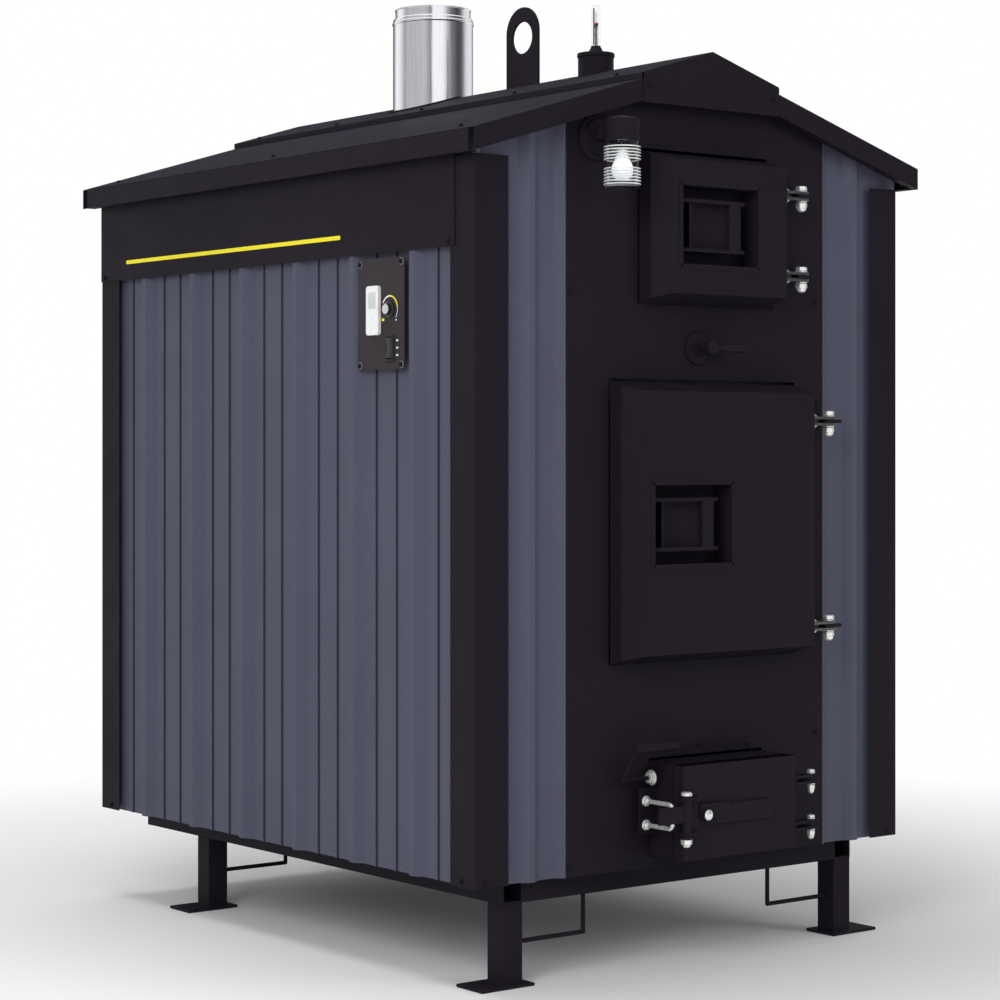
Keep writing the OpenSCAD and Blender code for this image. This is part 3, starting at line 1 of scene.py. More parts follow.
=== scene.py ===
"""Looks of the outdoor wood boiler.

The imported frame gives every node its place. This script gives each surface its finish, models the pieces
whose detail the frame leaves plain, and adds the floor, the lamps and the camera.
"""

import json
import logging
import math
from collections.abc import Callable, Iterable, Iterator, Sequence
from contextlib import contextmanager
from dataclasses import dataclass
from enum import Enum

import bmesh
import bpy
from mathutils import Matrix, Vector


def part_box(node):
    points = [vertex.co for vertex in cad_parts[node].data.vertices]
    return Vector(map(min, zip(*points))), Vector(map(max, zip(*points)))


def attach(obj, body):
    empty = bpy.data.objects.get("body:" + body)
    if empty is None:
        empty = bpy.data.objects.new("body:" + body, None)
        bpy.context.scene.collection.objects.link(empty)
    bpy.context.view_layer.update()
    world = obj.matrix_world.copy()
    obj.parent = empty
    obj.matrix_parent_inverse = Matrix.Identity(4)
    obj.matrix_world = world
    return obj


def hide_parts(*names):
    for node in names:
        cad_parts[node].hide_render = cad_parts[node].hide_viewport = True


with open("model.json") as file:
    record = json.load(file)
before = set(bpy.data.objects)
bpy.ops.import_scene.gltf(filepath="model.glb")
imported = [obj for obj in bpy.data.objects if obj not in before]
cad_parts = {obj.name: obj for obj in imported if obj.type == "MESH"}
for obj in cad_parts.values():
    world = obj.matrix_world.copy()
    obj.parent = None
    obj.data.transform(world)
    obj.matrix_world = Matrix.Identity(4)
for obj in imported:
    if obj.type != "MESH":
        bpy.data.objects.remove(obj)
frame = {"nodes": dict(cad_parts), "record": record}

log = logging.getLogger("boiler")

Piece = bpy.types.Object
Point = tuple[float, float, float]
Colour = tuple[float, float, float]
Profile = Sequence[tuple[float, float]]

MM = 0.001
TINY = 1e-6
MERGE = 2e-5
BOILER = "boiler"       # the body of all that doesn't move

ROOF_SLOPE = 0.3036     # rise of the roof for each metre towards the ridge
FRONT_WALL = -0.790     # the face of the front panel, along Y
RIB_PITCH = 0.2286      # from one main rib of the wall sheets to the next
WORN_EDGE = math.radians(25)    # sharper edges of a nut or head are taken off


class Axis(Enum):
    """A direction that a turned piece is laid along."""

    X = (0.0, math.pi / 2, 0.0)
    Y = (-math.pi / 2, 0.0, 0.0)
    Z = (0.0, 0.0, 0.0)
    MINUS_X = (0.0, -math.pi / 2, 0.0)
    MINUS_Y = (math.pi / 2, 0.0, 0.0)


def mm(*values: float) -> Point:
    """Returns lengths given in millimetres as a point in metres."""
    return tuple(v * MM for v in values)


# ---- Shader graphs ----

class Wire:
    """A number that varies over a surface: arithmetic on it adds Math nodes to its graph."""

    def __init__(self, graph: "Graph", socket: bpy.types.NodeSocket) -> None:
        """Keeps the graph and the output socket that carries the number."""
        self.graph = graph
        self.socket = socket

    def _math(self, operation: str, *values: "Wire | float") -> "Wire":
        """Returns the result of a Math node on the values."""
        return self.graph.add("ShaderNodeMath", {"operation": operation}, dict(enumerate(values)))

    def __add__(self, other: "Wire | float") -> "Wire":
        """Returns self + other."""
        return self._math("ADD", self, other)

    __radd__ = __add__

    def __sub__(self, other: "Wire | float") -> "Wire":
        """Returns self - other."""
        return self._math("SUBTRACT", self, other)

    def __rsub__(self, other: float) -> "Wire":
        """Returns other - self."""
        return self._math("SUBTRACT", other, self)

    def __mul__(self, other: "Wire | float") -> "Wire":
        """Returns self * other."""
        return self._math("MULTIPLY", self, other)

    __rmul__ = __mul__

    def __truediv__(self, other: "Wire | float") -> "Wire":
        """Returns self / other."""
        return self._math("DIVIDE", self, other)

    def __pow__(self, other: "Wire | float") -> "Wire":
        """Returns self to the power of other."""
        return self._math("POWER", self, other)

    def __abs__(self) -> "Wire":
        """Returns the size of self without its sign."""
        return self._math("ABSOLUTE", self)

    def wrap(self, period: float) -> "Wire":
        """Returns self folded into 0 to period."""
        return self._math("WRAP", self, period, 0.0)

    def smaller(self, other: "Wire | float") -> "Wire":
        """Returns the smaller of self and other."""
        return self._math("MINIMUM", self, other)

    def fit(self, low: float, high: float, to_low: float = 0.0, to_high: float = 1.0) -> "Wire":
        """Takes one range of values smoothly to another, and holds what lies outside it.

        Args:
            low: the value that becomes to_low.
            high: the value that becomes to_high.
            to_low: the start of the new range.
            to_high: the end of the new range.

        Returns:
            The value in the new range.
        """
        return self.graph.add(
            "ShaderNodeMapRange",
            {"interpolation_type": "SMOOTHSTEP"},
            {"Value": self, "From Min": low, "From Max": high, "To Min": to_low, "To Max": to_high},
            "Result",
        )


class Graph:
    """The shader nodes of one material, or of the world."""

    def __init__(self, owner: bpy.types.Material | bpy.types.World) -> None:
        """Keeps the owner of the nodes and empties its node tree."""
        self.owner = owner
        owner.use_nodes = True
        self.tree = owner.node_tree
        self.tree.nodes.clear()

    @classmethod
    def of_material(cls, name: str) -> "Graph":
        """Returns the empty graph of a new material."""
        return cls(bpy.data.materials.new(name))

    def add(
        self,
        kind: str,
        settings: dict[str, object] | None = None,
        sockets: dict[str | int, object] | None = None,
        output: str | int = 0,
    ) -> Wire:
        """Adds a node.

        Args:
            kind: the node's type.
            settings: its properties, set first; "stops" is a colour ramp's list of (place, colour).
            sockets: its inputs' values, or the wires that feed them.
            output: the output to return.

        Returns:
            The wire of that output.
        """
        node = self.tree.nodes.new(kind)
        for key, value in (settings or {}).items():
            if key == "stops":
                self._set_stops(node.color_ramp, value)
            else:
                setattr(node, key, value)
        for key, value in (sockets or {}).items():
            socket = node.inputs[key]
            if isinstance(value, Wire):
                self.tree.links.new(value.socket, socket)
            elif isinstance(value, tuple) and len(value) == 3 and socket.type == "RGBA":
                socket.default_value = (*value, 1.0)
            else:
                socket.default_value = value
        return Wire(self, node.outputs[output] if node.outputs else None)

    @staticmethod
    def _set_stops(ramp: bpy.types.ColorRamp, stops: Sequence[tuple[float, Colour]]) -> None:
        """Gives a colour ramp its stops."""
        while len(ramp.elements) < len(stops):
            ramp.elements.new(1.0)
        for element, (place, colour) in zip(ramp.elements, stops):
            element.position = place
            element.color = (*colour, 1.0)

    def place(self) -> Wire:
        """Returns the point on the piece, in metres."""
        return self.add("ShaderNodeTexCoord", output="Object")

    def facing(self) -> Wire:
        """Returns the piece's own normal."""
        return self.add("ShaderNodeTexCoord", output="Normal")

    def part(self, vector: Wire, letter: str) -> Wire:
        """Returns the X, Y or Z of a vector."""
        return self.add("ShaderNodeSeparateXYZ", sockets={0: vector}, output=letter)

    def stretched(self, scale: Point) -> Wire:
        """Returns the point on the piece with each axis multiplied."""
        return self.add(
            "ShaderNodeVectorMath", {"operation": "MULTIPLY"}, {0: self.place(), 1: scale}, "Vector"
        )

    def noise(
        self, scale: float, detail: float, stretch: Point = (1.0, 1.0, 1.0), rough: float = 0.55
    ) -> Wire:
        """Returns fractal noise around 0.5, with about scale lumps a metre.

        Args:
            scale: how many lumps there are in a metre.
            detail: how many finer layers lie over the lumps.
            stretch: the share of the scale along each axis.
            rough: how strong the finer layers are.

        Returns:
            The wire of the noise.
        """
        return self.add(
            "ShaderNodeTexNoise",
            sockets={"Vector": self.stretched(stretch), "Scale": scale, "Detail": detail, "Roughness": rough},
        )

    def cells(self, scale: float, output: str = "Color") -> Wire:
        """Returns the colour or distance of a cell pattern."""
        sockets = {"Vector": self.place(), "Scale": scale}
        return self.add("ShaderNodeTexVoronoi", sockets=sockets, output=output)

    def mix(self, factor: Wire | float, first: Wire | Colour, second: Wire | Colour) -> Wire:
        """Returns the blend of two colours."""
        return self.add("ShaderNodeMix", {"data_type": "RGBA"}, {0: factor, 6: first, 7: second}, 2)

    def shade(self, colour: Colour, share: Wire) -> Wire:
        """Returns the colour multiplied by a number that varies."""
        return self.add(
            "ShaderNodeVectorMath", {"operation": "SCALE"}, {0: colour, "Scale": share}, "Vector"
        )

    def bump(self, height: Wire, depth: float) -> Wire:
        """Returns the normal of a surface with that height, times depth in metres."""
        sockets = {"Height": height, "Distance": depth, "Strength": 1.0}
        return self.add("ShaderNodeBump", sockets=sockets, output="Normal")

    def surface(self, **inputs: object) -> None:
        """Ends the graph in a Principled shader, with its inputs named by words joined by underscores."""
        words = {key.replace("_", " "): value for key, value in inputs.items()}
        shader = self.add("ShaderNodeBsdfPrincipled", sockets=words, output="BSDF")
        self.add("ShaderNodeOutputMaterial", sockets={"Surface": shader})


# ---- Finishes ----

@dataclass(frozen=True)
class Finish:
    """A finish, and the record's material slot that it stands for."""

    name: str
    slot: str

    def graph(self) -> Graph:
        """Returns the finish's shader graph, ended in an output."""
        raise NotImplementedError

    def material(self) -> bpy.types.Material:
        """Returns the material, made at its first use."""
        return bpy.data.materials.get(self.name) or self.graph().owner


@dataclass(frozen=True)
class Paint(Finish):
    """Baked paint on sheet metal: fine peel, faint clouding, rain marks and settled dust.

    The level is that of its reflection, the peel a depth in metres, and dust, cloud and streaks are shares.
    """

    colour: Colour
    rough: float = 0.42
    level: float = 0.4
    peel: float = 0.00004
    dust: float = 0.10
    cloud: float = 0.05
    streaks: float = 0.04

    def graph(self) -> Graph:
        """Returns the paint's shader graph."""
        g = Graph.of_material(self.name)
        clouds = g.noise(2.6, 4.0).fit(0.3, 0.7, 1.0 - self.cloud, 1.0 + self.cloud)
        speck = g.noise(520.0, 2.0).fit(0.35, 0.65, 0.94, 1.06)
        marks = g.noise(34.0, 3.0, (1.0, 1.0, 0.035)).fit(0.52, 0.78)
        upward = g.part(g.facing(), "Z").fit(0.5, 1.0)
        low = g.part(g.place(), "Z").fit(0.05, 0.42, 1.0, 0.0)
        grit = g.noise(75.0, 5.0).fit(0.42, 0.68)
        settled = (upward * 0.5 + low * 0.45) * grit + marks * self.streaks
        paint = g.shade(self.colour, clouds * speck)
        dusty = tuple(min(1.0, c * 1.6 + 0.035) for c in self.colour)
        bump = g.bump(g.noise(620.0, 2.0) + g.noise(38.0, 2.0) * 4.0, self.peel)
        g.surface(
            Base_Color=g.mix(settled * self.dust, paint, dusty),
            Roughness=g.noise(9.0, 4.0).fit(0.3, 0.7, self.rough - 0.05, self.rough + 0.05)
            + settled * 0.1,
            Specular_IOR_Level=self.level,
            Normal=bump,
        )
        return g


@dataclass(frozen=True)
class Metal(Finish):
    """Bare or plated metal, brushed along one direction, with stains and small scratches."""

    colour: Colour
    rough: float = 0.28
    brush: Point = (1.0, 1.0, 1.0)
    grain: float = 240.0
    depth: float = 0.00002
    stain: float = 0.12
    tint: Colour = (0.3, 0.28, 0.26)
    metallic: float = 1.0

    def graph(self) -> Graph:
        """Returns the metal's shader graph."""
        g = Graph.of_material(self.name)
        hair = g.noise(self.grain, 3.0, self.brush)
        clouds = g.noise(14.0, 4.0).fit(0.35, 0.7)
        spots = g.noise(90.0, 5.0).fit(0.6, 0.75)
        metal = g.shade(self.colour, hair.fit(0.3, 0.7, 0.93, 1.05))
        g.surface(
            Base_Color=g.mix((clouds * 0.7 + spots * 0.6) * self.stain, metal, self.tint),
            Roughness=hair.fit(0.3, 0.7, self.rough - 0.05, self.rough + 0.07)
            + clouds * self.stain * 0.5,
            Metallic=self.metallic,
            Normal=g.bump(hair, self.depth),
        )
        return g


@dataclass(frozen=True)
class Spangle(Finish):
    """Hot dip galvanised steel with its crystal pattern."""

    colour: Colour

    def graph(self) -> Graph:
        """Returns the zinc coat's shader graph."""
        g = Graph.of_material(self.name)
        crystal = g.part(g.cells(120.0), "X")
        clouds = g.noise(20.0, 4.0).fit(0.3, 0.7)
        share = crystal.fit(0.0, 1.0, 0.8, 1.12) * clouds.fit(0.0, 1.0, 0.92, 1.05)
        g.surface(
            Base_Color=g.shade(self.colour, share),
            Roughness=crystal.fit(0.0, 1.0, 0.32, 0.5),
            Metallic=0.9,
            Normal=g.bump(g.noise(300.0, 2.0), 0.00003),
        )
        return g


@dataclass(frozen=True)
class Grainy(Finish):
    """A dull, grainy solid: raw casting, fired clay or mineral wool."""

    colour: Colour
    dark: Colour
    scale: float
    depth: float
    rough: float = 0.85
    metallic: float = 0.0
    fibre: Point = (1.0, 1.0, 1.0)

    def graph(self) -> Graph:
        """Returns the solid's shader graph."""
        g = Graph.of_material(self.name)
        grain = g.noise(self.scale, 6.0, self.fibre, 0.7)
        clouds = g.noise(self.scale * 0.08, 3.0)
        pits = g.cells(self.scale * 1.3, "Distance").fit(0.0, 0.25)
        light = grain.fit(0.3, 0.7) * 0.6 + clouds.fit(0.3, 0.7) * 0.3
        g.surface(
            Base_Color=g.mix(light, self.dark, self.colour),
            Roughness=grain.fit(0.2, 0.8, self.rough - 0.1, self.rough + 0.08),
            Metallic=self.metallic,
            Normal=g.bump(grain + pits * 0.4, self.depth),
        )
        return g


@dataclass(frozen=True)
class Rope(Finish):
    """Braided glass rope: two sets of strands that cross at a slant."""

    colour: Colour
    dark: Colour
    strand: float = 0.0035

    def graph(self) -> Graph:
        """Returns the rope's shader graph."""
        g = Graph.of_material(self.name)
        point = g.place()
        along = g.part(point, "X") + g.part(point, "Z")
        across = g.part(point, "Y") * 1.4
        one = (along + across).wrap(self.strand) / self.strand - 0.5
        two = (along - across).wrap(self.strand) / self.strand - 0.5
        weave = abs(one).smaller(abs(two)) * 2.0
        fuzz = g.noise(900.0, 3.0)
        light = weave.fit(0.0, 0.7) * fuzz.fit(0.2, 0.8, 0.7, 1.0)
        g.surface(
            Base_Color=g.mix(light, self.dark, self.colour),
            Roughness=fuzz.fit(0.2, 0.8, 0.8, 0.95),
            Normal=g.bump(weave + fuzz * 0.3, 0.0008),
        )
        return g


@dataclass(frozen=True)
class Plastic(Finish):
    """Moulded plastic with a fine spark-eroded texture."""

    colour: Colour
    rough: float = 0.4
    texture: float = 0.00003
    # Emission of the plastic's own colour; only the bulb has it, as painted light.
    glow: float = 0.0

    def graph(self) -> Graph:
        """Returns the plastic's shader graph."""
        g = Graph.of_material(self.name)
        grain = g.noise(1400.0, 2.0)
        clouds = g.noise(30.0, 3.0).fit(0.3, 0.7, 0.96, 1.03)
        g.surface(
            Base_Color=g.shade(self.colour, clouds * grain.fit(0.3, 0.7, 0.97, 1.02)),
            Roughness=grain.fit(0.3, 0.7, self.rough - 0.04, self.rough + 0.06),
            Emission_Color=self.colour,
            Emission_Strength=self.glow,
            Normal=g.bump(grain, self.texture),
        )
        return g


@dataclass(frozen=True)
class Glass(Finish):
    """Clear glass or plastic, with faint ripples and a little film on it."""

    tint: Colour
    ior: float = 1.46
    rough: float = 0.02
    film: float = 0.05

    def graph(self) -> Graph:
        """Returns the glass's shader graph."""
        g = Graph.of_material(self.name)
        haze = g.noise(26.0, 4.0).fit(0.45, 0.75)
        g.surface(
            Base_Color=g.mix(haze * self.film, self.tint, (0.8, 0.8, 0.78)),
            Roughness=haze.fit(0.0, 1.0, self.rough, self.rough + self.film),
            Transmission_Weight=1.0,
            IOR=self.ior,
            Normal=g.bump(g.noise(60.0, 2.0), 0.00005),
        )
        return g


BLACK = Paint("black_paint", "black_sheet", (0.0146, 0.0115, 0.0170), rough=0.50, level=0.05)
SLATE = Paint(
    "slate_paint", "slate_sheet", (0.082, 0.083, 0.122), rough=0.46, level=0.10, dust=0.06, cloud=0.03,
    streaks=0.0
)
# Painted shade: a darker slate laid on the flanks of the small ribs, in place of the shade in their creases.
CREASE_SHADE = Paint(
    "slate_crease_painted_shade", "slate_sheet", (0.027, 0.028, 0.042), rough=0.6, level=0.05, dust=0.02, streaks=0.0
)
# Painted shade: a darker copy of the black paint that reflects nothing.
SHADED_BLACK = Paint(
    "black_paint_shaded", "black_sheet", (0.0045, 0.0036, 0.0052), rough=0.62, level=0.0, dust=0.0
)
ROOF = Paint("roof_paint", "roof_sheet", (0.0205, 0.0185, 0.0250), rough=0.54, level=0.008, dust=0.08)
PLATE = Paint("control_plate_print", "black_sheet", (0.036, 0.031, 0.036), rough=0.5, level=0.1, dust=0.02)
YELLOW = Paint(
    "yellow_stripe", "black_sheet", (0.90, 0.78, 0.01), rough=0.4, level=0.2, dust=0.05, cloud=0.03
)
PRINT_WHITE = Paint(
    "white_print", "black_sheet", (0.80, 0.80, 0.80), rough=0.5, level=0.2, dust=0.03, cloud=0.03
)
ZINC = Metal(
    "zinc_plate", "zinc", (0.90, 0.90, 0.88), rough=0.28, stain=0.05, tint=(0.55, 0.52, 0.42), metallic=0.6
)
# Painted shade: a darker copy of the zinc, for some faces of the clevises.
SHADED_ZINC = Metal(
    "zinc_plate_painted_shade", "zinc", (0.20, 0.20, 0.205), rough=0.42, stain=0.1, tint=(0.10, 0.10, 0.09)
)
STAINLESS = Metal(
    "stainless_sheet", "stainless", (0.92, 0.91, 0.95), rough=0.13, brush=(1.0, 1.0, 0.02), grain=420.0,
    stain=0.03
)
STEEL = Metal(
    "mill_steel", "steel_plate", (0.32, 0.32, 0.34), rough=0.48, grain=60.0, stain=0.5,
    tint=(0.09, 0.085, 0.09), metallic=0.85, depth=0.0001
)
IRON = Grainy(
    "raw_casting", "cast_iron", (0.085, 0.082, 0.085), (0.03, 0.028, 0.028), 260.0, 0.0004, rough=0.72,
    metallic=0.5
)
WOOL = Grainy(
    "mineral_wool", "insulation_foam", (0.78, 0.66, 0.36), (0.45, 0.36, 0.16), 160.0, 0.002, rough=0.9,
    fibre=(1.0, 1.0, 6.0)
)
BRICK = Grainy(
    "fired_clay", "firebrick", (0.74, 0.55, 0.33), (0.48, 0.32, 0.18), 120.0, 0.0008, rough=0.88
)
ROPE = Rope("glass_rope", "gasket_rope", (0.80, 0.78, 0.70), (0.32, 0.30, 0.26))
TUBE = Glass("level_tube_plastic", "clear_plastic", (0.95, 0.96, 0.97), ior=1.1, rough=0.02)
JAR = Glass("jar_glass_clear", "jar_glass", (0.95, 0.96, 0.97), ior=1.14, rough=0.01, film=0.02)
# Painted highlight: a pale, opaque finish on the crests of the jar's rings.
JAR_RIB_HIGHLIGHT = Plastic("jar_rib_painted_highlight", "jar_glass", (0.78, 0.80, 0.81), rough=0.16, texture=0.000004)
# Painted light: the bulb is given a faint glow of its own colour.
BULB = Plastic("bulb_opal_painted_glow", "bulb_white", (0.90, 0.90, 0.90), rough=0.25, texture=0.000005, glow=0.35)
DISPLAY = Plastic("display_case", "display_white", (0.86, 0.86, 0.87), rough=0.42)
SCREEN = Plastic("display_screen", "display_white", (0.62, 0.66, 0.63), rough=0.15, texture=0.000002)
KNOB = Plastic("knob_black", "knob_plastic", (0.018, 0.017, 0.019), rough=0.4)
KNOB_CAP = Metal("knob_cap_disc", "knob_plastic", (0.90, 0.90, 0.90), rough=0.35, grain=900.0, stain=0.02)
NYLON = Plastic("nylon_ring", "zinc", (0.55, 0.60, 0.72), rough=0.45)
RUBBER = Plastic("rubber_washer", "black_sheet", (0.24, 0.24, 0.245), rough=0.7, texture=0.00005)
FLOAT = Plastic("float_plastic", "float_red", (0.50, 0.016, 0.014), rough=0.35)
FLOAT_ROD = Plastic("float_rod_plastic", "float_red", (0.03, 0.028, 0.03), rough=0.45)
GALVANISED = Spangle("galvanised_zinc", "galvanised", (0.52, 0.54, 0.56))
INK = Plastic("dark_print", "display_white", (0.02, 0.02, 0.022), rough=0.5)


# ---- Modelling by operators ----

def lay_down() -> None:
    """Leaves edit mode and deselects every object."""
    active = bpy.context.view_layer.objects.active
    if active and active.mode != "OBJECT":
        bpy.ops.object.mode_set(mode="OBJECT")
    bpy.ops.object.select_all(action="DESELECT")


def take(piece: Piece) -> Piece:
    """Makes one object the only selected and the active one."""
    lay_down()
    piece.select_set(True)
    bpy.context.view_layer.objects.active = piece
    return piece


@contextmanager
def editing(piece: Piece, kind: str, all_selected: bool = False) -> Iterator[None]:
    """Edit mode on one object, with nothing or all of it selected.

    Args:
        piece: the object to edit.
        kind: what is selected: VERT, EDGE or FACE.
        all_selected: True to start with the whole mesh selected.
    """
    take(piece)
    bpy.ops.object.mode_set(mode="EDIT")
    bpy.ops.mesh.select_mode(type=kind)
    bpy.ops.mesh.select_all(action="SELECT" if all_selected else "DESELECT")
    yield
    bpy.ops.object.mode_set(mode="OBJECT")


def pick(piece: Piece, test: Callable[[object], bool], kind: str = "FACE") -> int:
    """Selects, in edit mode, the faces, edges or corners that pass a test on their place or normal.

    Args:
        piece: the object being edited.
        test: takes a face, an edge or a corner.
        kind: VERT, EDGE or FACE.

    Returns:
        How many are selected.
    """
    bpy.ops.mesh.select_all(action="DESELECT")
    mesh = bmesh.from_edit_mesh(piece.data)
    parts = {"VERT": mesh.verts, "EDGE": mesh.edges, "FACE": mesh.faces}[kind]
    found = [part for part in parts if test(part)]
    for part in found:
        part.select_set(True)
    mesh.select_flush_mode()
    bmesh.update_edit_mesh(piece.data)
    return len(found)


def extrude_by(x: float, y: float, z: float) -> None:
    """Extrudes what is selected in edit mode, by a distance along each axis."""
    bpy.ops.mesh.extrude_region_move(TRANSFORM_OT_translate={"value": (x, y, z)})


def box(low: Point, high: Point) -> Piece:
    """Makes a block between two corners.

    Args:
        low: its lowest corner, in metres.
        high: its highest corner.

    Returns:
        The block.
    """
    lay_down()
    centre = [(a + b) / 2 for a, b in zip(low, high)]
    bpy.ops.mesh.primitive_cube_add(size=1.0, location=centre, scale=[b - a for a, b in zip(low, high)])
    piece = bpy.context.active_object
    settle(piece)
    return piece


def settle(piece: Piece) -> None:
    """Moves an object's place, turn and scale into its mesh."""
    take(piece)
    bpy.ops.object.transform_apply(location=True, rotation=True, scale=True)


def modify(piece: Piece, kind: str, **settings: object) -> None:
    """Adds a modifier and applies it.

    Args:
        piece: the piece that it changes.
        kind: the modifier's type.
        **settings: its properties.
    """
    take(piece)
    modifier = piece.modifiers.new(kind.title(), kind)
    for key, value in settings.items():
        setattr(modifier, key, value)
    bpy.ops.object.modifier_apply(modifier=modifier.name)


def smooth(piece: Piece, degrees: float = 38.0) -> None:
    """Shades the mesh smooth, with sharp edges past an angle and flats kept flat."""
    take(piece)
    bpy.ops.object.shade_smooth_by_angle(angle=math.radians(degrees))
    modify(piece, "WEIGHTED_NORMAL", keep_sharp=True)


def rounded(piece: Piece, width: float, segments: int, degrees: float = 30.0) -> Piece:
    """Rounds the sharp edges of a piece and shades it smooth.

    Args:
        piece: the piece.
        width: how wide the rounding is, in metres.
        segments: how many faces the rounding has.
        degrees: the angle past which an edge is rounded.

    Returns:
        The piece.
    """
    modify(
        piece, "BEVEL", width=width, segments=segments, limit_method="ANGLE",
        angle_limit=math.radians(degrees), use_clamp_overlap=True, miter_outer="MITER_ARC",
    )
    smooth(piece)
    return piece


def closed(piece: Piece) -> None:
    """Merges corners that lie together and turns all faces outwards."""
    with editing(piece, "VERT", True):
        bpy.ops.mesh.remove_doubles(threshold=MERGE)
        bpy.ops.mesh.normals_make_consistent(inside=False)


def turned(profile: Profile, sides: int) -> Piece:
    """Returns a shape turned around Z from (radius, height) points, as rings extruded one from the other.

    Args:
        profile: the points in metres; a radius of 0 closes an end, and a last point equal to the first
            closes a ring.
        sides: how many sides the turned shape has.

    Returns:
        The turned shape.
    """
    radius, height = max(profile[0][0], TINY), profile[0][1]
    lay_down()
    bpy.ops.mesh.primitive_circle_add(
        vertices=sides, radius=radius, location=(0, 0, height), fill_type="NOTHING"
    )
    piece = bpy.context.active_object
    settle(piece)
    with editing(piece, "EDGE", True):
        for next_radius, next_height in profile[1:]:
            next_radius = max(next_radius, TINY)
            extrude_by(0, 0, next_height - height)
            share = next_radius / radius
            bpy.ops.transform.resize(value=(share, share, 1), center_override=(0, 0, next_height))
            radius, height = next_radius, next_height
    closed(piece)
    return piece


def laid(piece: Piece, at: Point, axis: Axis = Axis.Z) -> Piece:
    """Lays a piece that was made around Z along an axis, at a point.

    Args:
        piece: the piece, made at the origin.
        at: where its origin goes, in metres.
        axis: what its Z becomes.

    Returns:
        The piece.
    """
    piece.matrix_world = Matrix.Translation(at) @ euler(axis)
    settle(piece)
    return piece


def revolved(
    profile: Profile, at: Point, axis: Axis, sides: int, degrees: float, finish: Finish
) -> Piece:
    """Makes a turned, smooth and finished piece, laid along an axis at a point.

    Args:
        profile: its (radius, height) points.
        at: where its origin goes.
        axis: what its Z becomes.
        sides: how many sides it has.
        degrees: the angle past which an edge stays sharp.
        finish: what it is made of.

    Returns:
        The piece.
    """
    piece = turned(profile, sides)
    smooth(piece, degrees)
    return dress(laid(piece, at, axis), finish)


def panel(axis: Axis, size: tuple[float, float], centre: Point, corner: float, segments: int) -> Piece:
    """Makes a flat panel with round corners, still without thickness.

    Args:
        axis: the direction that it faces.
        size: its size along its own X and Y, before it is turned to that direction.
        centre: its middle.
        corner: the radius of its corners.
        segments: how many edges each corner has.

    Returns:
        The panel.
    """
    lay_down()
    bpy.ops.mesh.primitive_plane_add(size=1.0, rotation=axis.value)
    piece = bpy.context.active_object
    piece.scale = (*size, 1.0)
    piece.location = centre
    settle(piece)
    with editing(piece, "VERT", True):
        bpy.ops.mesh.bevel(offset=corner, segments=segments, affect="VERTICES")
    return piece


def euler(axis: Axis) -> Matrix:
    """Returns the turn that takes Z to an axis."""
    x, y, z = axis.value
    return Matrix.Rotation(z, 4, "Z") @ Matrix.Rotation(y, 4, "Y") @ Matrix.Rotation(x, 4, "X")


def copy_of(piece: Piece, move: Point = (0.0, 0.0, 0.0), turn: Matrix | None = None) -> Piece:
    """Copies a piece together with its mesh.

    Args:
        piece: the piece to copy.
        move: how far the copy is moved, in metres.
        turn: the turn that it gets before that, or None.

    Returns:
        The copy.
    """
    twin = piece.copy()
    twin.data = piece.data.copy()
    for key in [k for k in twin.keys() if k.startswith("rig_")]:
        del twin[key]
    twin.parent = None
    bpy.context.scene.collection.objects.link(twin)
    twin.matrix_world = Matrix.Translation(move) @ (turn or Matrix.Identity(4))
    settle(twin)
    return twin


def joined(pieces: Sequence[Piece]) -> Piece:
    """Joins pieces of one kind into one object."""
    take(pieces[0])
    for piece in pieces:
        piece.select_set(True)
    if len(pieces) > 1:
        bpy.ops.object.join()
    return bpy.context.view_layer.objects.active


def dress(piece: Piece, finish: Finish) -> Piece:
    """Gives a piece one finish all over."""
    piece.data.materials.clear()
    piece.data.materials.append(finish.material())
    return piece


def repaint(piece: Piece, finish: Finish, test: Callable[[bpy.types.MeshPolygon], bool]) -> None:
    """Gives some faces of a piece a further finish.

    Args:
        piece: the piece, already dressed.
        finish: the further finish.
        test: takes a face, and is true where the finish goes.
    """
    piece.data.materials.append(finish.material())
    slot = len(piece.data.materials) - 1
    for face in piece.data.polygons:
        if test(face):
            face.material_index = slot


def place_piece(
    piece: Piece, name: str, finish: Finish, replaces: Sequence[str] = (), body: str = ""
) -> Piece:
    """Names a finished piece and hands it to the frame.

    Args:
        piece: the finished piece.
        name: its name.
        finish: what it is made of; its slot is the piece's slot.
        replaces: the CAD nodes that it stands for.
        body: the CAD body that it moves with; if empty, that of the nodes, or else the boiler itself.

    Returns:
        The piece.
    """
    body = body or (body_of(replaces[0]) if replaces else BOILER)
    piece.name = name
    piece.data.name = name
    if not piece.data.materials:
        dress(piece, finish)
    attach(piece, body)
    if replaces:
        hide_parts(*replaces)
    log.info("%s: %d faces on %s", name, len(piece.data.polygons), body)
    return piece


def over(low: Vector, high: Vector) -> Point:
    """Returns the point on the floor below the middle of a box."""
    return ((low.x + high.x) / 2, (low.y + high.y) / 2, 0.0)


def body_of(node: str) -> str:
    """Returns the name of the body that a CAD node belongs to."""
    bodies = frame["record"]["behaviour"]["bodies"]
    return next(body for body, nodes in bodies.items() if node in nodes)


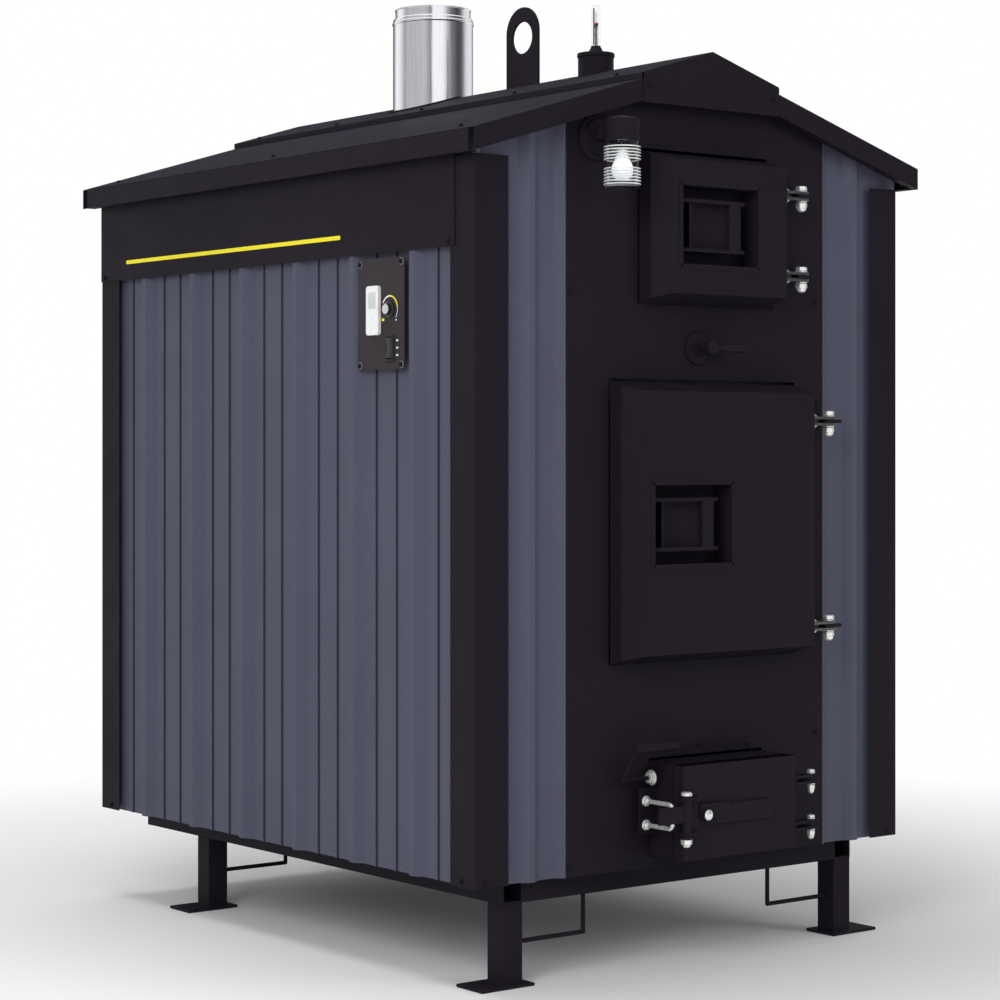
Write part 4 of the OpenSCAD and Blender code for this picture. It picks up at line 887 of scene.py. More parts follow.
def softened(node: str, width: float, finish: Finish, segments: int = 2, degrees: float = 30.0) -> Piece:
    """Replaces a CAD node by a merged copy of it whose edges are rounded as bent or ground metal is.

    Args:
        node: the CAD node.
        width: how wide the rounding is, in metres.
        finish: what the piece is made of.
        segments: how many faces the rounding has.
        degrees: the angle past which an edge is rounded.

    Returns:
        The finished piece.
    """
    piece = copy_of(frame["nodes"][node])
    piece.hide_render = False
    with editing(piece, "VERT", True):
        bpy.ops.mesh.remove_doubles(threshold=MERGE)
        bpy.ops.mesh.dissolve_limited(angle_limit=math.radians(0.3))
    dress(piece, finish)
    rounded(piece, width, segments, degrees)
    kind = "sheet" if "sheet" in finish.slot else "part"
    return place_piece(piece, f"{node}_{kind}", finish, [node])


# ---- Jacket: ribbed sheets, trims, boards and screws ----

class Side(Enum):
    """A wall of the jacket, by the turn that takes +Y to its outward direction."""

    RIGHT = -math.pi / 2
    LEFT = math.pi / 2
    FRONT = math.pi
    REAR = 0.0


@dataclass
class RibbedSheets:
    """The roll-formed wall sheets, in metres.

    A rib is given by half its width at the foot and at the top and by its height, and a fold by the width
    of its level edge and the run of its slope. The ribs' places run along each wall from its middle.
    """

    half_width: float = 0.6265
    half_length: float = 0.7865
    flat_x: float = 0.614
    flat_y: float = 0.774
    sheet: float = 0.0015
    rib_height: float = 0.0145
    rib_foot: float = 0.027
    rib_top: float = 0.008
    small_height: float = 0.0035
    small_foot: float = 0.0075
    small_top: float = 0.0035
    small_shift: float = RIB_PITCH / 3
    fold: tuple[float, float] = (0.010, 0.006)
    lap_fold: tuple[float, float] = (0.004, 0.018)
    bend: float = 0.0014
    side_ribs: tuple[float, ...] = tuple(-0.561 + k * RIB_PITCH for k in range(6))
    rear_ribs: tuple[float, ...] = tuple((k - 1.5) * RIB_PITCH for k in range(4))
    strip_ribs: tuple[float, float] = (-0.4773, 0.4923)
    front_panel_half: float = 0.3853
    plate_lap: float = 0.0197
    hole_reach: tuple[float, float] = (-0.70, -0.60)
    pipe_room: float = 0.002

    def rib(self, centre: float, small: bool = True) -> Profile:
        """Draws the outline of a main rib.

        Args:
            centre: the middle of the rib, along X.
            small: True to draw the two small ribs beside it as well.

        Returns:
            Its points, along X and outwards.
        """
        low_rib = (self.small_foot, self.small_top, self.small_height)
        ribs = [(0.0, self.rib_foot, self.rib_top, self.rib_height)]
        if small:
            ribs = [(-self.small_shift, *low_rib), *ribs, (self.small_shift, *low_rib)]
        points = []
        for shift, foot, top, height in ribs:
            middle = centre + shift
            points += [
                (middle - foot, 0.0), (middle - top, height), (middle + top, height), (middle + foot, 0.0)
            ]
        return points

    def row_of(self, centres: Iterable[float]) -> Profile:
        """Returns the points of a row of ribs, small ones included."""
        return [point for centre in centres for point in self.rib(centre)]

    def outline(
        self, start: float, end: float, ribs: Profile, folds: Sequence[tuple[float, float]]
    ) -> Profile:
        """Draws the outline of a sheet with both edges folded out to the ribs' height.

        Args:
            start: where the sheet starts along X.
            end: where it ends.
            ribs: the points of its ribs.
            folds: the level width and the run of the fold at its start and at its end.

        Returns:
            Its points, along X and outwards.
        """
        top = self.rib_height
        (flat0, run0), (flat1, run1) = folds
        return [
            (start, top), (start + flat0, top), (start + flat0 + run0, 0.0), *ribs,
            (end - flat1 - run1, 0.0), (end - flat1, top), (end, top)
        ]

    def sheet_piece(self, points: Profile, low: float, high: float) -> Piece:
        """Makes a ribbed sheet that stands along X and bulges to +Y, still without thickness.

        Args:
            points: its outline from above.
            low: the height of its lower edge.
            high: the height of its upper edge.

        Returns:
            The sheet.
        """
        (x0, y0), x1 = points[0], points[1][0]
        lay_down()
        bpy.ops.mesh.primitive_plane_add(
            size=1.0, location=((x0 + x1) / 2, y0, (low + high) / 2), rotation=(math.pi / 2, 0, 0)
        )
        piece = bpy.context.active_object
        piece.scale = (x1 - x0, high - low, 1.0)
        settle(piece)
        with editing(piece, "EDGE"):
            pick(piece, lambda e: all(v.co.x > (x0 + x1) / 2 for v in e.verts), "EDGE")
            for (xa, ya), (xb, yb) in zip(points[1:], points[2:]):
                extrude_by(xb - xa, yb - ya, 0)
            pick(piece, self._is_bend, "EDGE")
            bpy.ops.mesh.bevel(offset=self.bend, segments=3, offset_type="OFFSET")
        return piece

    @staticmethod
    def _is_bend(edge: bmesh.types.BMEdge) -> bool:
        """Tells whether an edge is an upright bend."""
        upright = abs(edge.verts[0].co.z - edge.verts[1].co.z) > 0.1
        return upright and len(edge.link_faces) == 2 and edge.calc_face_angle(0.0) > math.radians(8)

    @staticmethod
    def cut_to_roof(piece: Piece, ridge: float) -> None:
        """Cuts a sheet's top along both slopes of the roof, which meet in the middle at the height ridge."""
        with editing(piece, "FACE"):
            for side in (-1, 1):
                bpy.ops.mesh.select_all(action="SELECT")
                bpy.ops.mesh.bisect(
                    plane_co=(0, 0, ridge), plane_no=(side * ROOF_SLOPE, 0, 1), clear_outer=True
                )

    def thicken(self, piece: Piece, side: Side, ribs: Sequence[float]) -> Piece:
        """Gives a sheet its thickness inwards, turns it to its wall and paints shade on the flanks of its
        small ribs.

        Args:
            piece: the sheet.
            side: the wall that it belongs to.
            ribs: the centres of its main ribs, or none if it has no small ones.

        Returns:
            The sheet.
        """
        bulge = self.flat_x if side in (Side.LEFT, Side.RIGHT) else self.flat_y
        piece.matrix_world = Matrix.Rotation(side.value, 4, "Z") @ Matrix.Translation((0, bulge, 0))
        settle(piece)
        turn = Matrix.Rotation(side.value, 3, "Z")
        outward, along = turn @ Vector((0, 1, 0)), turn @ Vector((1, 0, 0))
        if sum(f.normal.dot(outward) * f.area for f in piece.data.polygons) < 0:
            with editing(piece, "FACE", True):
                bpy.ops.mesh.flip_normals()
        modify(piece, "SOLIDIFY", thickness=self.sheet, offset=-1.0)
        smooth(piece, 25.0)
        dress(piece, SLATE)
        small = [centre + shift for centre in ribs for shift in (-self.small_shift, self.small_shift)]
        reach = self.small_foot + 0.001
        # Painted shade: the flanks of the small ribs get the darker slate.
        repaint(piece, CREASE_SHADE, lambda f: abs(f.normal.dot(along)) > 0.35 and any(
            abs(f.center.dot(along) - centre) < reach for centre in small
        ))
        return piece

    def build(self) -> None:
        """Makes the side walls, the rear wall and the two front strips."""
        right = self.side_wall(Side.RIGHT, [-y for y in reversed(self.side_ribs)])
        left = self.side_wall(Side.LEFT, self.side_ribs)
        self.cut(left, self.plate_hole())
        place_piece(right, "right_wall_sheet", SLATE)
        place_piece(left, "left_wall_sheet", SLATE, ["side_panels"])
        place_piece(self.rear_wall(), "rear_wall_sheet", SLATE, ["rear_panel"])
        place_piece(self.front_strips(), "front_strip_sheets", SLATE, ["front_rib_strips"])

    def side_wall(self, side: Side, ribs: Sequence[float]) -> Piece:
        """Returns a side wall with its main ribs at the given places."""
        low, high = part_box("side_panels")
        points = self.outline(-self.half_length, self.half_length, self.row_of(ribs), (self.fold, self.fold))
        return self.thicken(self.sheet_piece(points, low.z, high.z), side, ribs)

    def plate_hole(self) -> Piece:
        """Returns the block that leaves a hole in the left wall behind the control plate."""
        low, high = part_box("control_plate")
        near, far = self.hole_reach
        lap = self.plate_lap
        return box((near, low.y + lap, low.z + lap), (far, high.y - lap, high.z - lap))

    def rear_wall(self) -> Piece:
        """Returns the rear wall, cut to the roof and round the pipes and the blower's duct."""
        low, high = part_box("rear_panel")
        edge = self.half_width
        points = self.outline(-edge, edge, self.row_of(self.rear_ribs), (self.fold, self.fold))
        rear = self.sheet_piece(points, low.z, high.z)
        self.cut_to_roof(rear, high.z)
        self.thicken(rear, Side.REAR, self.rear_ribs)
        for node in ("water_pipes", "blower_housing"):
            self.cut_round(rear, node)
        return rear

    def front_strips(self) -> Piece:
        """Returns the two strips beside the front panel, each with one rib."""
        low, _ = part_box("front_rib_strips")
        _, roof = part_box("rear_panel")
        edge, inner = self.half_width, self.front_panel_half
        strips = []
        for start, end, centre, folds in (
            (inner, edge, -self.strip_ribs[0], (self.lap_fold, self.fold)),
            (-edge, -inner, -self.strip_ribs[1], (self.fold, self.lap_fold)),
        ):
            points = self.outline(start, end, self.rib(centre, small=False), folds)
            strip = self.sheet_piece(points, low.z, roof.z + self.fold[0] * ROOF_SLOPE)
            self.cut_to_roof(strip, roof.z)
            strips.append(self.thicken(strip, Side.FRONT, []))
        return joined(strips)

    @staticmethod
    def cut(piece: Piece, cutter: Piece) -> None:
        """Cuts one piece out of another and deletes the cutter."""
        modify(piece, "BOOLEAN", object=cutter, operation="DIFFERENCE", solver="EXACT")
        bpy.data.objects.remove(cutter)

    def cut_round(self, wall: Piece, node: str) -> None:
        """Cuts the rear wall where the round parts of a node pass through it."""
        for centre, radius in crossings(node, self.flat_y):
            hole = radius + self.pipe_room
            cutter = turned([(0, -0.03), (hole, -0.03), (hole, 0.05), (0, 0.05)], 40)
            self.cut(wall, laid(cutter, (centre.x, self.flat_y, centre.z), Axis.Y))


def islands(node: str) -> list[list[Vector]]:
    """Returns the corners of each separate solid of a CAD node."""
    mesh = bmesh.new()
    mesh.from_mesh(frame["nodes"][node].data)
    bmesh.ops.remove_doubles(mesh, verts=mesh.verts, dist=MERGE)
    seen, groups = set(), []
    for vert in mesh.verts:
        if vert.index in seen:
            continue
        stack, group = [vert], []
        seen.add(vert.index)
        while stack:
            corner = stack.pop()
            group.append(corner.co.copy())
            for edge in corner.link_edges:
                other = edge.other_vert(corner)
                if other.index not in seen:
                    seen.add(other.index)
                    stack.append(other)
        groups.append(group)
    mesh.free()
    return groups


def extent(points: Sequence[Vector]) -> tuple[Vector, Vector]:
    """Returns the lowest and highest corners of some points."""
    low = Vector([min(p[i] for p in points) for i in range(3)])
    high = Vector([max(p[i] for p in points) for i in range(3)])
    return low, high


def crossings(node: str, wall_y: float) -> list[tuple[Vector, float]]:
    """Finds the round solids of a node that pass through a wall.

    Args:
        node: the CAD node.
        wall_y: the place of the wall, along Y.

    Returns:
        The centre and the radius of each.
    """
    found = []
    for group in islands(node):
        low, high = extent(group)
        if low.y < wall_y < high.y:
            outer = [p for p in group if p.y > wall_y - 0.002]
            low, high = extent(outer)
            found.append(((low + high) / 2, (high.x - low.x) / 2))
    return found


# ---- Fasteners ----

def hexagon(flats: float, low: float, high: float, chamfer: float, dish: float = 0.0) -> Piece:
    """Makes a hexagon head or nut blank on the Z axis, with worn corners.

    Args:
        flats: the width across flats.
        low: the height of its lower face.
        high: the height of its upper face.
        chamfer: how far the corners are taken off.
        dish: how deep the middle of the top is pressed in.

    Returns:
        The blank.
    """
    corner = flats / 2 / math.cos(math.pi / 6)
    inner = corner - 2.4 * chamfer
    profile = [
        (0, low), (corner - chamfer, low), (corner, low + 0.5 * chamfer), (corner, high - chamfer),
        (inner, high)
    ]
    if dish:
        profile += [(inner * 0.72, high), (inner * 0.6, high - dish)]
    piece = turned([*profile, (0, profile[-1][1])], 6)
    modify(piece, "BEVEL", width=chamfer * 0.3, segments=1, limit_method="ANGLE", angle_limit=WORN_EDGE)
    smooth(piece, 20.0)
    return piece


def disc(
    radius: float, low: float, high: float, soft: float, bore: float = 0.0, sides: int = 32
) -> Piece:
    """Makes a washer or a plain round plate on the Z axis, with rounded rims.

    Args:
        radius: its outer radius.
        low: the height of its lower face.
        high: the height of its upper face.
        soft: the width of the rounding.
        bore: the radius of its hole, or 0.
        sides: how many sides its rim has.

    Returns:
        The washer or plate.
    """
    rim = [(radius - soft, low), (radius, low + soft), (radius, high - soft), (radius - soft, high)]
    ends = [(bore, low), *rim, (bore, high)]
    piece = turned([*ends, (bore, low)] if bore else ends, sides)
    smooth(piece, 50.0)
    return piece


def threaded(radius: float, low: float, high: float, pitch: float = 0.002, sides: int = 24) -> Piece:
    """Makes a threaded rod end on the Z axis, with a fine ridge for each turn.

    Args:
        radius: the radius over the ridges.
        low: the height of its lower end.
        high: the height of its upper end.
        pitch: from one ridge to the next.
        sides: how many sides it has.

    Returns:
        The rod end.
    """
    deep = radius - pitch * 0.45
    turns = max(1, round((high - low) / pitch))
    step = (high - low) / turns
    ridges = [
        point for k in range(turns) for point in ((deep, low + k * step), (radius, low + (k + 0.5) * step))
    ]
    piece = turned([(0, low), *ridges, (deep * 0.9, high), (0, high)], sides)
    smooth(piece, 60.0)
    return piece


def spread(points: Sequence[Vector], way: Vector) -> tuple[float, float]:
    """Returns the lowest and highest place of some points along a direction."""
    places = [p.dot(way) for p in points]
    return min(places), max(places)


def foot_of(points: Sequence[Vector], way: Vector) -> Vector:
    """Returns the middle of the end where a round solid that stands along a direction starts."""
    turn = way.to_track_quat("Z", "Y").to_matrix()
    across, up = turn.col[0], turn.col[1]
    middles = [sum(spread(points, v)) / 2 for v in (across, up)]
    return across * middles[0] + up * middles[1] + way * spread(points, way)[0]


@dataclass
class Fasteners:
    """Sheet screws and hinge bolts: each is modelled once and copied to the places that the frame gives.

    The two sizes of hinge bolt hold the washer's radius, the width across flats and the head's height.
    """

    washer: float = 0.0078
    washer_rise: float = 0.0014
    flats: float = 0.0078
    height: float = 0.0058
    bolt: float = 0.008
    tab_out: float = 0.0106
    bolt_washer: float = 0.003
    nut_start: float = 0.0032
    nut_end: float = 0.0155
    collar_end: float = 0.0212
    bolt_low: float = 0.0346
    large_bolt: Point = (0.0132, 0.0238, 0.0100)
    small_bolt: Point = (0.0094, 0.0156, 0.0064)
    ash_top: float = 0.50
    plate_y: tuple[float, float] = (-0.55, -0.35)
    plate_top: float = 1.57

    def sheet_screw(self) -> Piece:
        """Returns a hexagon washer head screw that stands on z = 0."""
        return joined([
            disc(self.washer, 0.0, self.washer_rise, 0.0005, sides=20),
            hexagon(self.flats, self.washer_rise * 0.8, self.height, 0.0005, 0.0006),
        ])

    def plate_screw(self) -> Piece:
        """Returns a low domed screw in a pale ring washer, that stands on z = 0."""
        ring = dress(disc(self.washer, 0.0, 0.0012, 0.0004, 0.0052), RUBBER)
        dome = turned(
            [(0, 0.0004), (0.0064, 0.0004), (0.0066, 0.0012), (0.0058, 0.0030), (0.0038, 0.0043),
             (0.0024, 0.0046), (0.0021, 0.0032), (0, 0.0032)], 28
        )
        smooth(dome, 45.0)
        return joined([dress(dome, BLACK), ring])

    def seats(self) -> list[tuple[Vector, Vector]]:
        """Returns the foot and the direction of each sheet screw."""
        found = []
        for points in islands("sheet_screws"):
            side = math.copysign(1.0, points[0].x)
            ways = [
                Vector((0, -1, 0)), Vector((side, 0, 0)), Vector((side * ROOF_SLOPE, 0, 1)).normalized()
            ]
            way = min(ways, key=lambda w: spread(points, w)[1] - spread(points, w)[0])
            found.append((foot_of(points, way), way))
        return found

    def hinge_bolt(self, washer: float, flats: float, head: float) -> Piece:
        """Makes a hinge bolt around z = 0, its head and washer above and its lock nut and thread below.

        Args:
            washer: the radius of its washers.
            flats: the width of its head and nut across flats.
            head: the height of its head.

        Returns:
            The bolt.
        """
        out, shaft = self.tab_out, self.bolt - 0.0002
        shank = turned([(0, -out), (shaft, -out), (shaft, out), (0, out)], 32)
        smooth(shank, 50.0)
        seat = out + self.nut_start
        blank = hexagon(flats, seat, seat + head, 0.0016, 0.0006)
        thick = self.bolt_washer
        washers = [disc(washer, out, out + thick, 0.0005), disc(washer, -out - thick, -out, 0.0005)]
        nut = hexagon(flats, -out - self.nut_end, -seat, 0.0016)
        inner, start, end = flats * 0.39, -out - self.nut_end + 0.0005, -out - self.collar_end
        collar = turned(
            [(0, end), (inner, end), (flats * 0.445, end + 0.0014), (flats * 0.46, start), (0, start)], 32
        )
        smooth(collar, 45.0)
        tail = threaded(min(self.bolt - 0.0004, flats * 0.33), -self.bolt_low, end + 0.0007)
        ring = dress(disc(inner, end - 0.0004, end + 0.0002, 0.0002, flats * 0.33), NYLON)
        metal = joined([shank, blank, *washers, nut, collar, tail])
        return joined([dress(metal, ZINC), ring])

    def build(self) -> None:
        """Puts a screw or a bolt in each place."""
        screw, plate_screw = self.sheet_screw(), self.plate_screw()
        sheet, plate = [], []
        for foot, way in self.seats():
            beside = way.x < -0.99 and self.plate_y[0] < foot.y < self.plate_y[1]
            model, places = (plate_screw, plate) if beside and foot.z < self.plate_top else (screw, sheet)
            places.append(copy_of(model, foot, way.to_track_quat("Z", "Y").to_matrix().to_4x4()))
        place_piece(joined(sheet), "hex_sheet_screws", BLACK, ["sheet_screws"])
        place_piece(joined(plate), "control_plate_screws", BLACK)
        large, small = self.hinge_bolt(*self.large_bolt), self.hinge_bolt(*self.small_bolt)
        bolts = []
        for points in islands("hinge_bolts"):
            low, high = extent(points)
            model = small if high.z < self.ash_top else large
            centre = ((low.x + high.x) / 2, (low.y + high.y) / 2, low.z + self.bolt_low)
            bolts.append(copy_of(model, centre))
        place_piece(joined(bolts), "hinge_bolt_set", ZINC, ["hinge_bolts"])
        for model in (screw, plate_screw, large, small):
            bpy.data.objects.remove(model)


# ---- Sheet metal, base and boards ----

@dataclass
class Shell:
    """Trims, boards, roof, fascias, front panel and base, with the edges that bent or sawn metal has."""

    fold: float = 0.0012
    board_edge: float = 0.0009
    roof_edge: float = 0.0010
    leg_edge: float = 0.0025
    stripe_z: tuple[float, float] = (1.612, 1.6215)
    stripe_y: tuple[float, float] = (-0.297, 0.660)
    stripe_thick: float = 0.0003

    def build(self) -> None:
        """Makes every plain sheet metal piece and the stripes on the boards."""
        for node in ("corner_trims", "front_panel", "roof_fascias", "hinge_plates"):
            softened(node, self.fold, BLACK)
        softened("sign_boards", self.board_edge, BLACK)
        for node in ("roof_panels", "ridge_cap", "chimney_flashing"):
            softened(node, self.roof_edge, ROOF, 2, 12.0)
        softened("legs", self.leg_edge, BLACK, 3)
        softened("base_frame", self.leg_edge, BLACK, 2)
        for side in (-1, 1):
            self.stripe(side)

    def stripe(self, side: int) -> None:
        """Lays a plain yellow stripe with rounded ends on a board, side -1 for the left one."""
        low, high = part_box("sign_boards")
        y0, y1 = self.stripe_y
        z0, z1 = self.stripe_z
        piece = panel(
            Axis.X if side > 0 else Axis.MINUS_X, (z1 - z0, y1 - y0),
            (high.x if side > 0 else low.x, (y0 + y1) / 2, (z0 + z1) / 2), (z1 - z0) * 0.3, 4
        )
        with editing(piece, "FACE", True):
            rise = side * self.stripe_thick
            extrude_by(rise, 0, 0)
        closed(piece)
        place_piece(piece, f"board_stripe_{'right' if side > 0 else 'left'}", YELLOW)


# ---- Upper door and load door ----

@dataclass
class Door:
    """A pressed door leaf with its recessed pull paddle, liner, rope gasket, clevises and latch.

    The pocket is given by its lowest corner, from that of the door, and by its size.
    """

    name: str
    pocket: tuple[float, float]
    pocket_size: tuple[float, float] = (0.225, 0.172)
    edge: float = 0.0022
    border: float = 0.012
    border_rise: float = 0.0012
    rope_turn: float = 0.035
    flare: float = 0.012

    def build(self) -> None:
        """Makes all pieces of the door."""
        softened(self.name, self.edge, BLACK, 3, 12.0)
        liner = softened(f"{self.name}_liner", 0.0016, STEEL)
        repaint(liner, BLACK, lambda f: abs(f.normal.y) < 0.9)
        clevises = softened(f"{self.name}_clevises", 0.0009, ZINC)
        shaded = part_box(self.name)[1].x + self.flare
        # Painted shade: the clevises' arms past the flared ends, and their upper and lower faces, get the
        # darker zinc.
        repaint(clevises, SHADED_ZINC, lambda f: f.center.x > shaded or abs(f.normal.z) > 0.7)
        softened(f"{self.name}_latch", 0.0009, STEEL)
        softened(f"{self.name}_paddle", 0.0013, BLACK, 2, 32.0)
        self.pocket_border()
        self.gasket()

    def pocket_border(self) -> None:
        """Makes the flange of the pocket's insert, which stands proud of the door face."""
        corner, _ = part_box(self.name)
        x0, z0 = corner.x + self.pocket[0], corner.z + self.pocket[1]
        width, height = self.pocket_size
        out = self.border
        piece = panel(
            Axis.MINUS_Y, (width + 2 * out, height + 2 * out), (x0 + width / 2, corner.y, z0 + height / 2),
            out * 0.6, 4
        )
        with editing(piece, "FACE", True):
            bpy.ops.mesh.inset(thickness=out)
            bpy.ops.mesh.delete(type="FACE")
        modify(piece, "SOLIDIFY", thickness=self.border_rise, offset=1.0)
        closed(piece)
        rounded(piece, 0.0005, 2)
        place_piece(piece, f"{self.name}_pocket_border", BLACK, body=body_of(self.name))

    def gasket(self) -> None:
        """Makes the braided rope that seals the door, as one closed loop with round corners."""
        low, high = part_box(f"{self.name}_gasket")
        thick = (high.y - low.y) / 2
        centre = ((low.x + high.x) / 2, (low.y + high.y) / 2, (low.z + high.z) / 2)
        size = (high.x - low.x - 2 * thick, high.z - low.z - 2 * thick)
        piece = panel(Axis.MINUS_Y, size, centre, self.rope_turn, 8)
        with editing(piece, "FACE", True):
            bpy.ops.mesh.delete(type="ONLY_FACE")
        take(piece)
        bpy.ops.object.convert(target="CURVE")
        piece = bpy.context.active_object
        piece.data.bevel_depth = thick
        piece.data.bevel_resolution = 4
        bpy.ops.object.convert(target="MESH")
        piece = bpy.context.active_object
        closed(piece)
        smooth(piece, 60.0)
        place_piece(piece, f"{self.name}_rope_gasket", ROPE, [f"{self.name}_gasket"])


# ---- Ash door, its latch, and the grate shaker ----

@dataclass
class AshDoor:
    """The ash door with its straps, the zinc bolts of its latch, the U-bolt keeper and the shaker crank."""

    latch: Point = mm(-152, -915, 350)
    latch_radius: float = 0.0162
    latch_top: float = 0.397
    latch_bottom: float = 0.303
    pan: Point = mm(-91, -919.3, 350)
    pan_radius: float = 0.0115
    keeper_x: float = -0.181
    keeper_z: tuple[float, float] = (0.325, 0.377)
    keeper_rod: float = 0.005
    keeper_bend: float = 0.012
    keeper_leg: float = 0.022
    keeper_thread: float = 0.034
    plate_y: tuple[float, float] = (-0.815, -0.809)
    crank: Point = mm(-160, -810, 426)
    edge: float = 0.0018

    def build(self) -> None:
        """Makes the door and all that is fixed to it."""
        leaf = softened("ash_door", self.edge, BLACK, 3)
        # Painted shade: the upward faces of the door get the darker black.
        repaint(leaf, SHADED_BLACK, lambda f: f.normal.z > 0.6)
        softened("ash_door_fittings", 0.0012, BLACK)
        softened("ash_toggle_lever", 0.0014, BLACK)
        softened("shaker_crank", 0.0008, BLACK)
        self.latch_bolt()
        self.pan_head()
        self.keeper()
        self.crank_nut()

    def latch_bolt(self) -> None:
        """Makes the head above and the lock nut below the strap lever's pivot."""
        r, top, bottom = self.latch_radius, self.latch_top, self.latch_bottom
        head = turned(
            [(0, top - 0.0004), (r * 0.74, top - 0.0004), (r * 0.74, top + 0.0055), (r * 0.66, top + 0.0070),
             (r * 0.3, top + 0.0078), (0, top + 0.0078)], 32
        )
        smooth(head, 45.0)
        nut = hexagon(0.0222, bottom - 0.0115, bottom + 0.0004, 0.0014)
        dome = turned(
            [(0, bottom - 0.0185), (0.0052, bottom - 0.0180), (0.0082, bottom - 0.0152),
             (0.0090, bottom - 0.0113), (0, bottom - 0.0113)], 28
        )
        smooth(dome, 50.0)
        piece = laid(joined([head, nut, dome]), (self.latch[0], self.latch[1], 0))
        place_piece(piece, "ash_latch_pivot_bolt", ZINC, body=body_of("ash_door"))

    def pan_head(self) -> None:
        """Makes the low round head on the crossbar."""
        r = self.pan_radius
        head = turned(
            [(0, -0.0018), (r, -0.0018), (r, 0.0004), (r * 0.93, 0.0014), (r * 0.62, 0.0026),
             (r * 0.22, 0.0030), (r * 0.15, 0.0020), (0, 0.0020)], 40
        )
        smooth(head, 40.0)
        place_piece(laid(head, self.pan, Axis.MINUS_Y), "crossbar_pan_head", ZINC, body=body_of("ash_door"))

    def keeper(self) -> None:
        """Makes the U-bolt that the strap lever hooks into: a bent rod with threads, washers and nuts."""
        low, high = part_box("ash_u_bolt")
        x, (z0, z1) = self.keeper_x, self.keeper_z
        bend = self.keeper_bend
        bow_y, leg_y = low.y + self.keeper_rod + bend, high.y - self.keeper_leg
        lay_down()
        bpy.ops.mesh.primitive_circle_add(
            vertices=20, radius=self.keeper_rod, location=(x, leg_y, z1), rotation=Axis.MINUS_Y.value,
            fill_type="NGON"
        )
        rod = bpy.context.active_object
        settle(rod)
        quarter = {"steps": 8, "angle": -math.pi / 2, "axis": (1, 0, 0)}
        with editing(rod, "FACE", True):
            extrude_by(0, bow_y - leg_y, 0)
            bpy.ops.mesh.spin(center=(x, bow_y, z1 - bend), **quarter)
            extrude_by(0, 0, z0 - z1 + 2 * bend)
            bpy.ops.mesh.spin(center=(x, bow_y, z0 + bend), **quarter)
            extrude_by(0, leg_y - bow_y, 0)
        closed(rod)
        smooth(rod, 50.0)
        parts = [rod]
        for z in (z0, z1):
            end = threaded(self.keeper_rod - 0.0002, 0.0, self.keeper_thread, 0.0016, 20)
            parts.append(laid(end, (x, high.y - self.keeper_thread, z), Axis.Y))
            for y, axis in zip(self.plate_y, (Axis.MINUS_Y, Axis.Y)):
                parts.append(laid(disc(0.0118, 0.0, 0.0016, 0.0004), (x, y, z), axis))
                parts.append(laid(hexagon(0.0175, 0.0016, 0.0085, 0.0010), (x, y, z), axis))
        place_piece(joined(parts), "ash_keeper_u_bolt", ZINC, ["ash_u_bolt"])

    def crank_nut(self) -> None:
        """Makes the washer and the nut on the boss that the crank turns in."""
        washer = disc(0.0170, 0.0, 0.0022, 0.0006, 0.0046)
        nut = turned(
            [(0.0046, 0.002), (0.0136, 0.002), (0.0136, 0.0095), (0.0122, 0.0110), (0.0046, 0.0110),
             (0.0046, 0.002)], 6
        )
        modify(nut, "BEVEL", width=0.0004, segments=1, limit_method="ANGLE", angle_limit=WORN_EDGE)
        smooth(nut, 20.0)
        piece = laid(joined([washer, nut]), self.crank, Axis.MINUS_X)
        place_piece(piece, "crank_bearing_nut", ZINC)


# ---- Roof fittings, porch lamp and damper ----

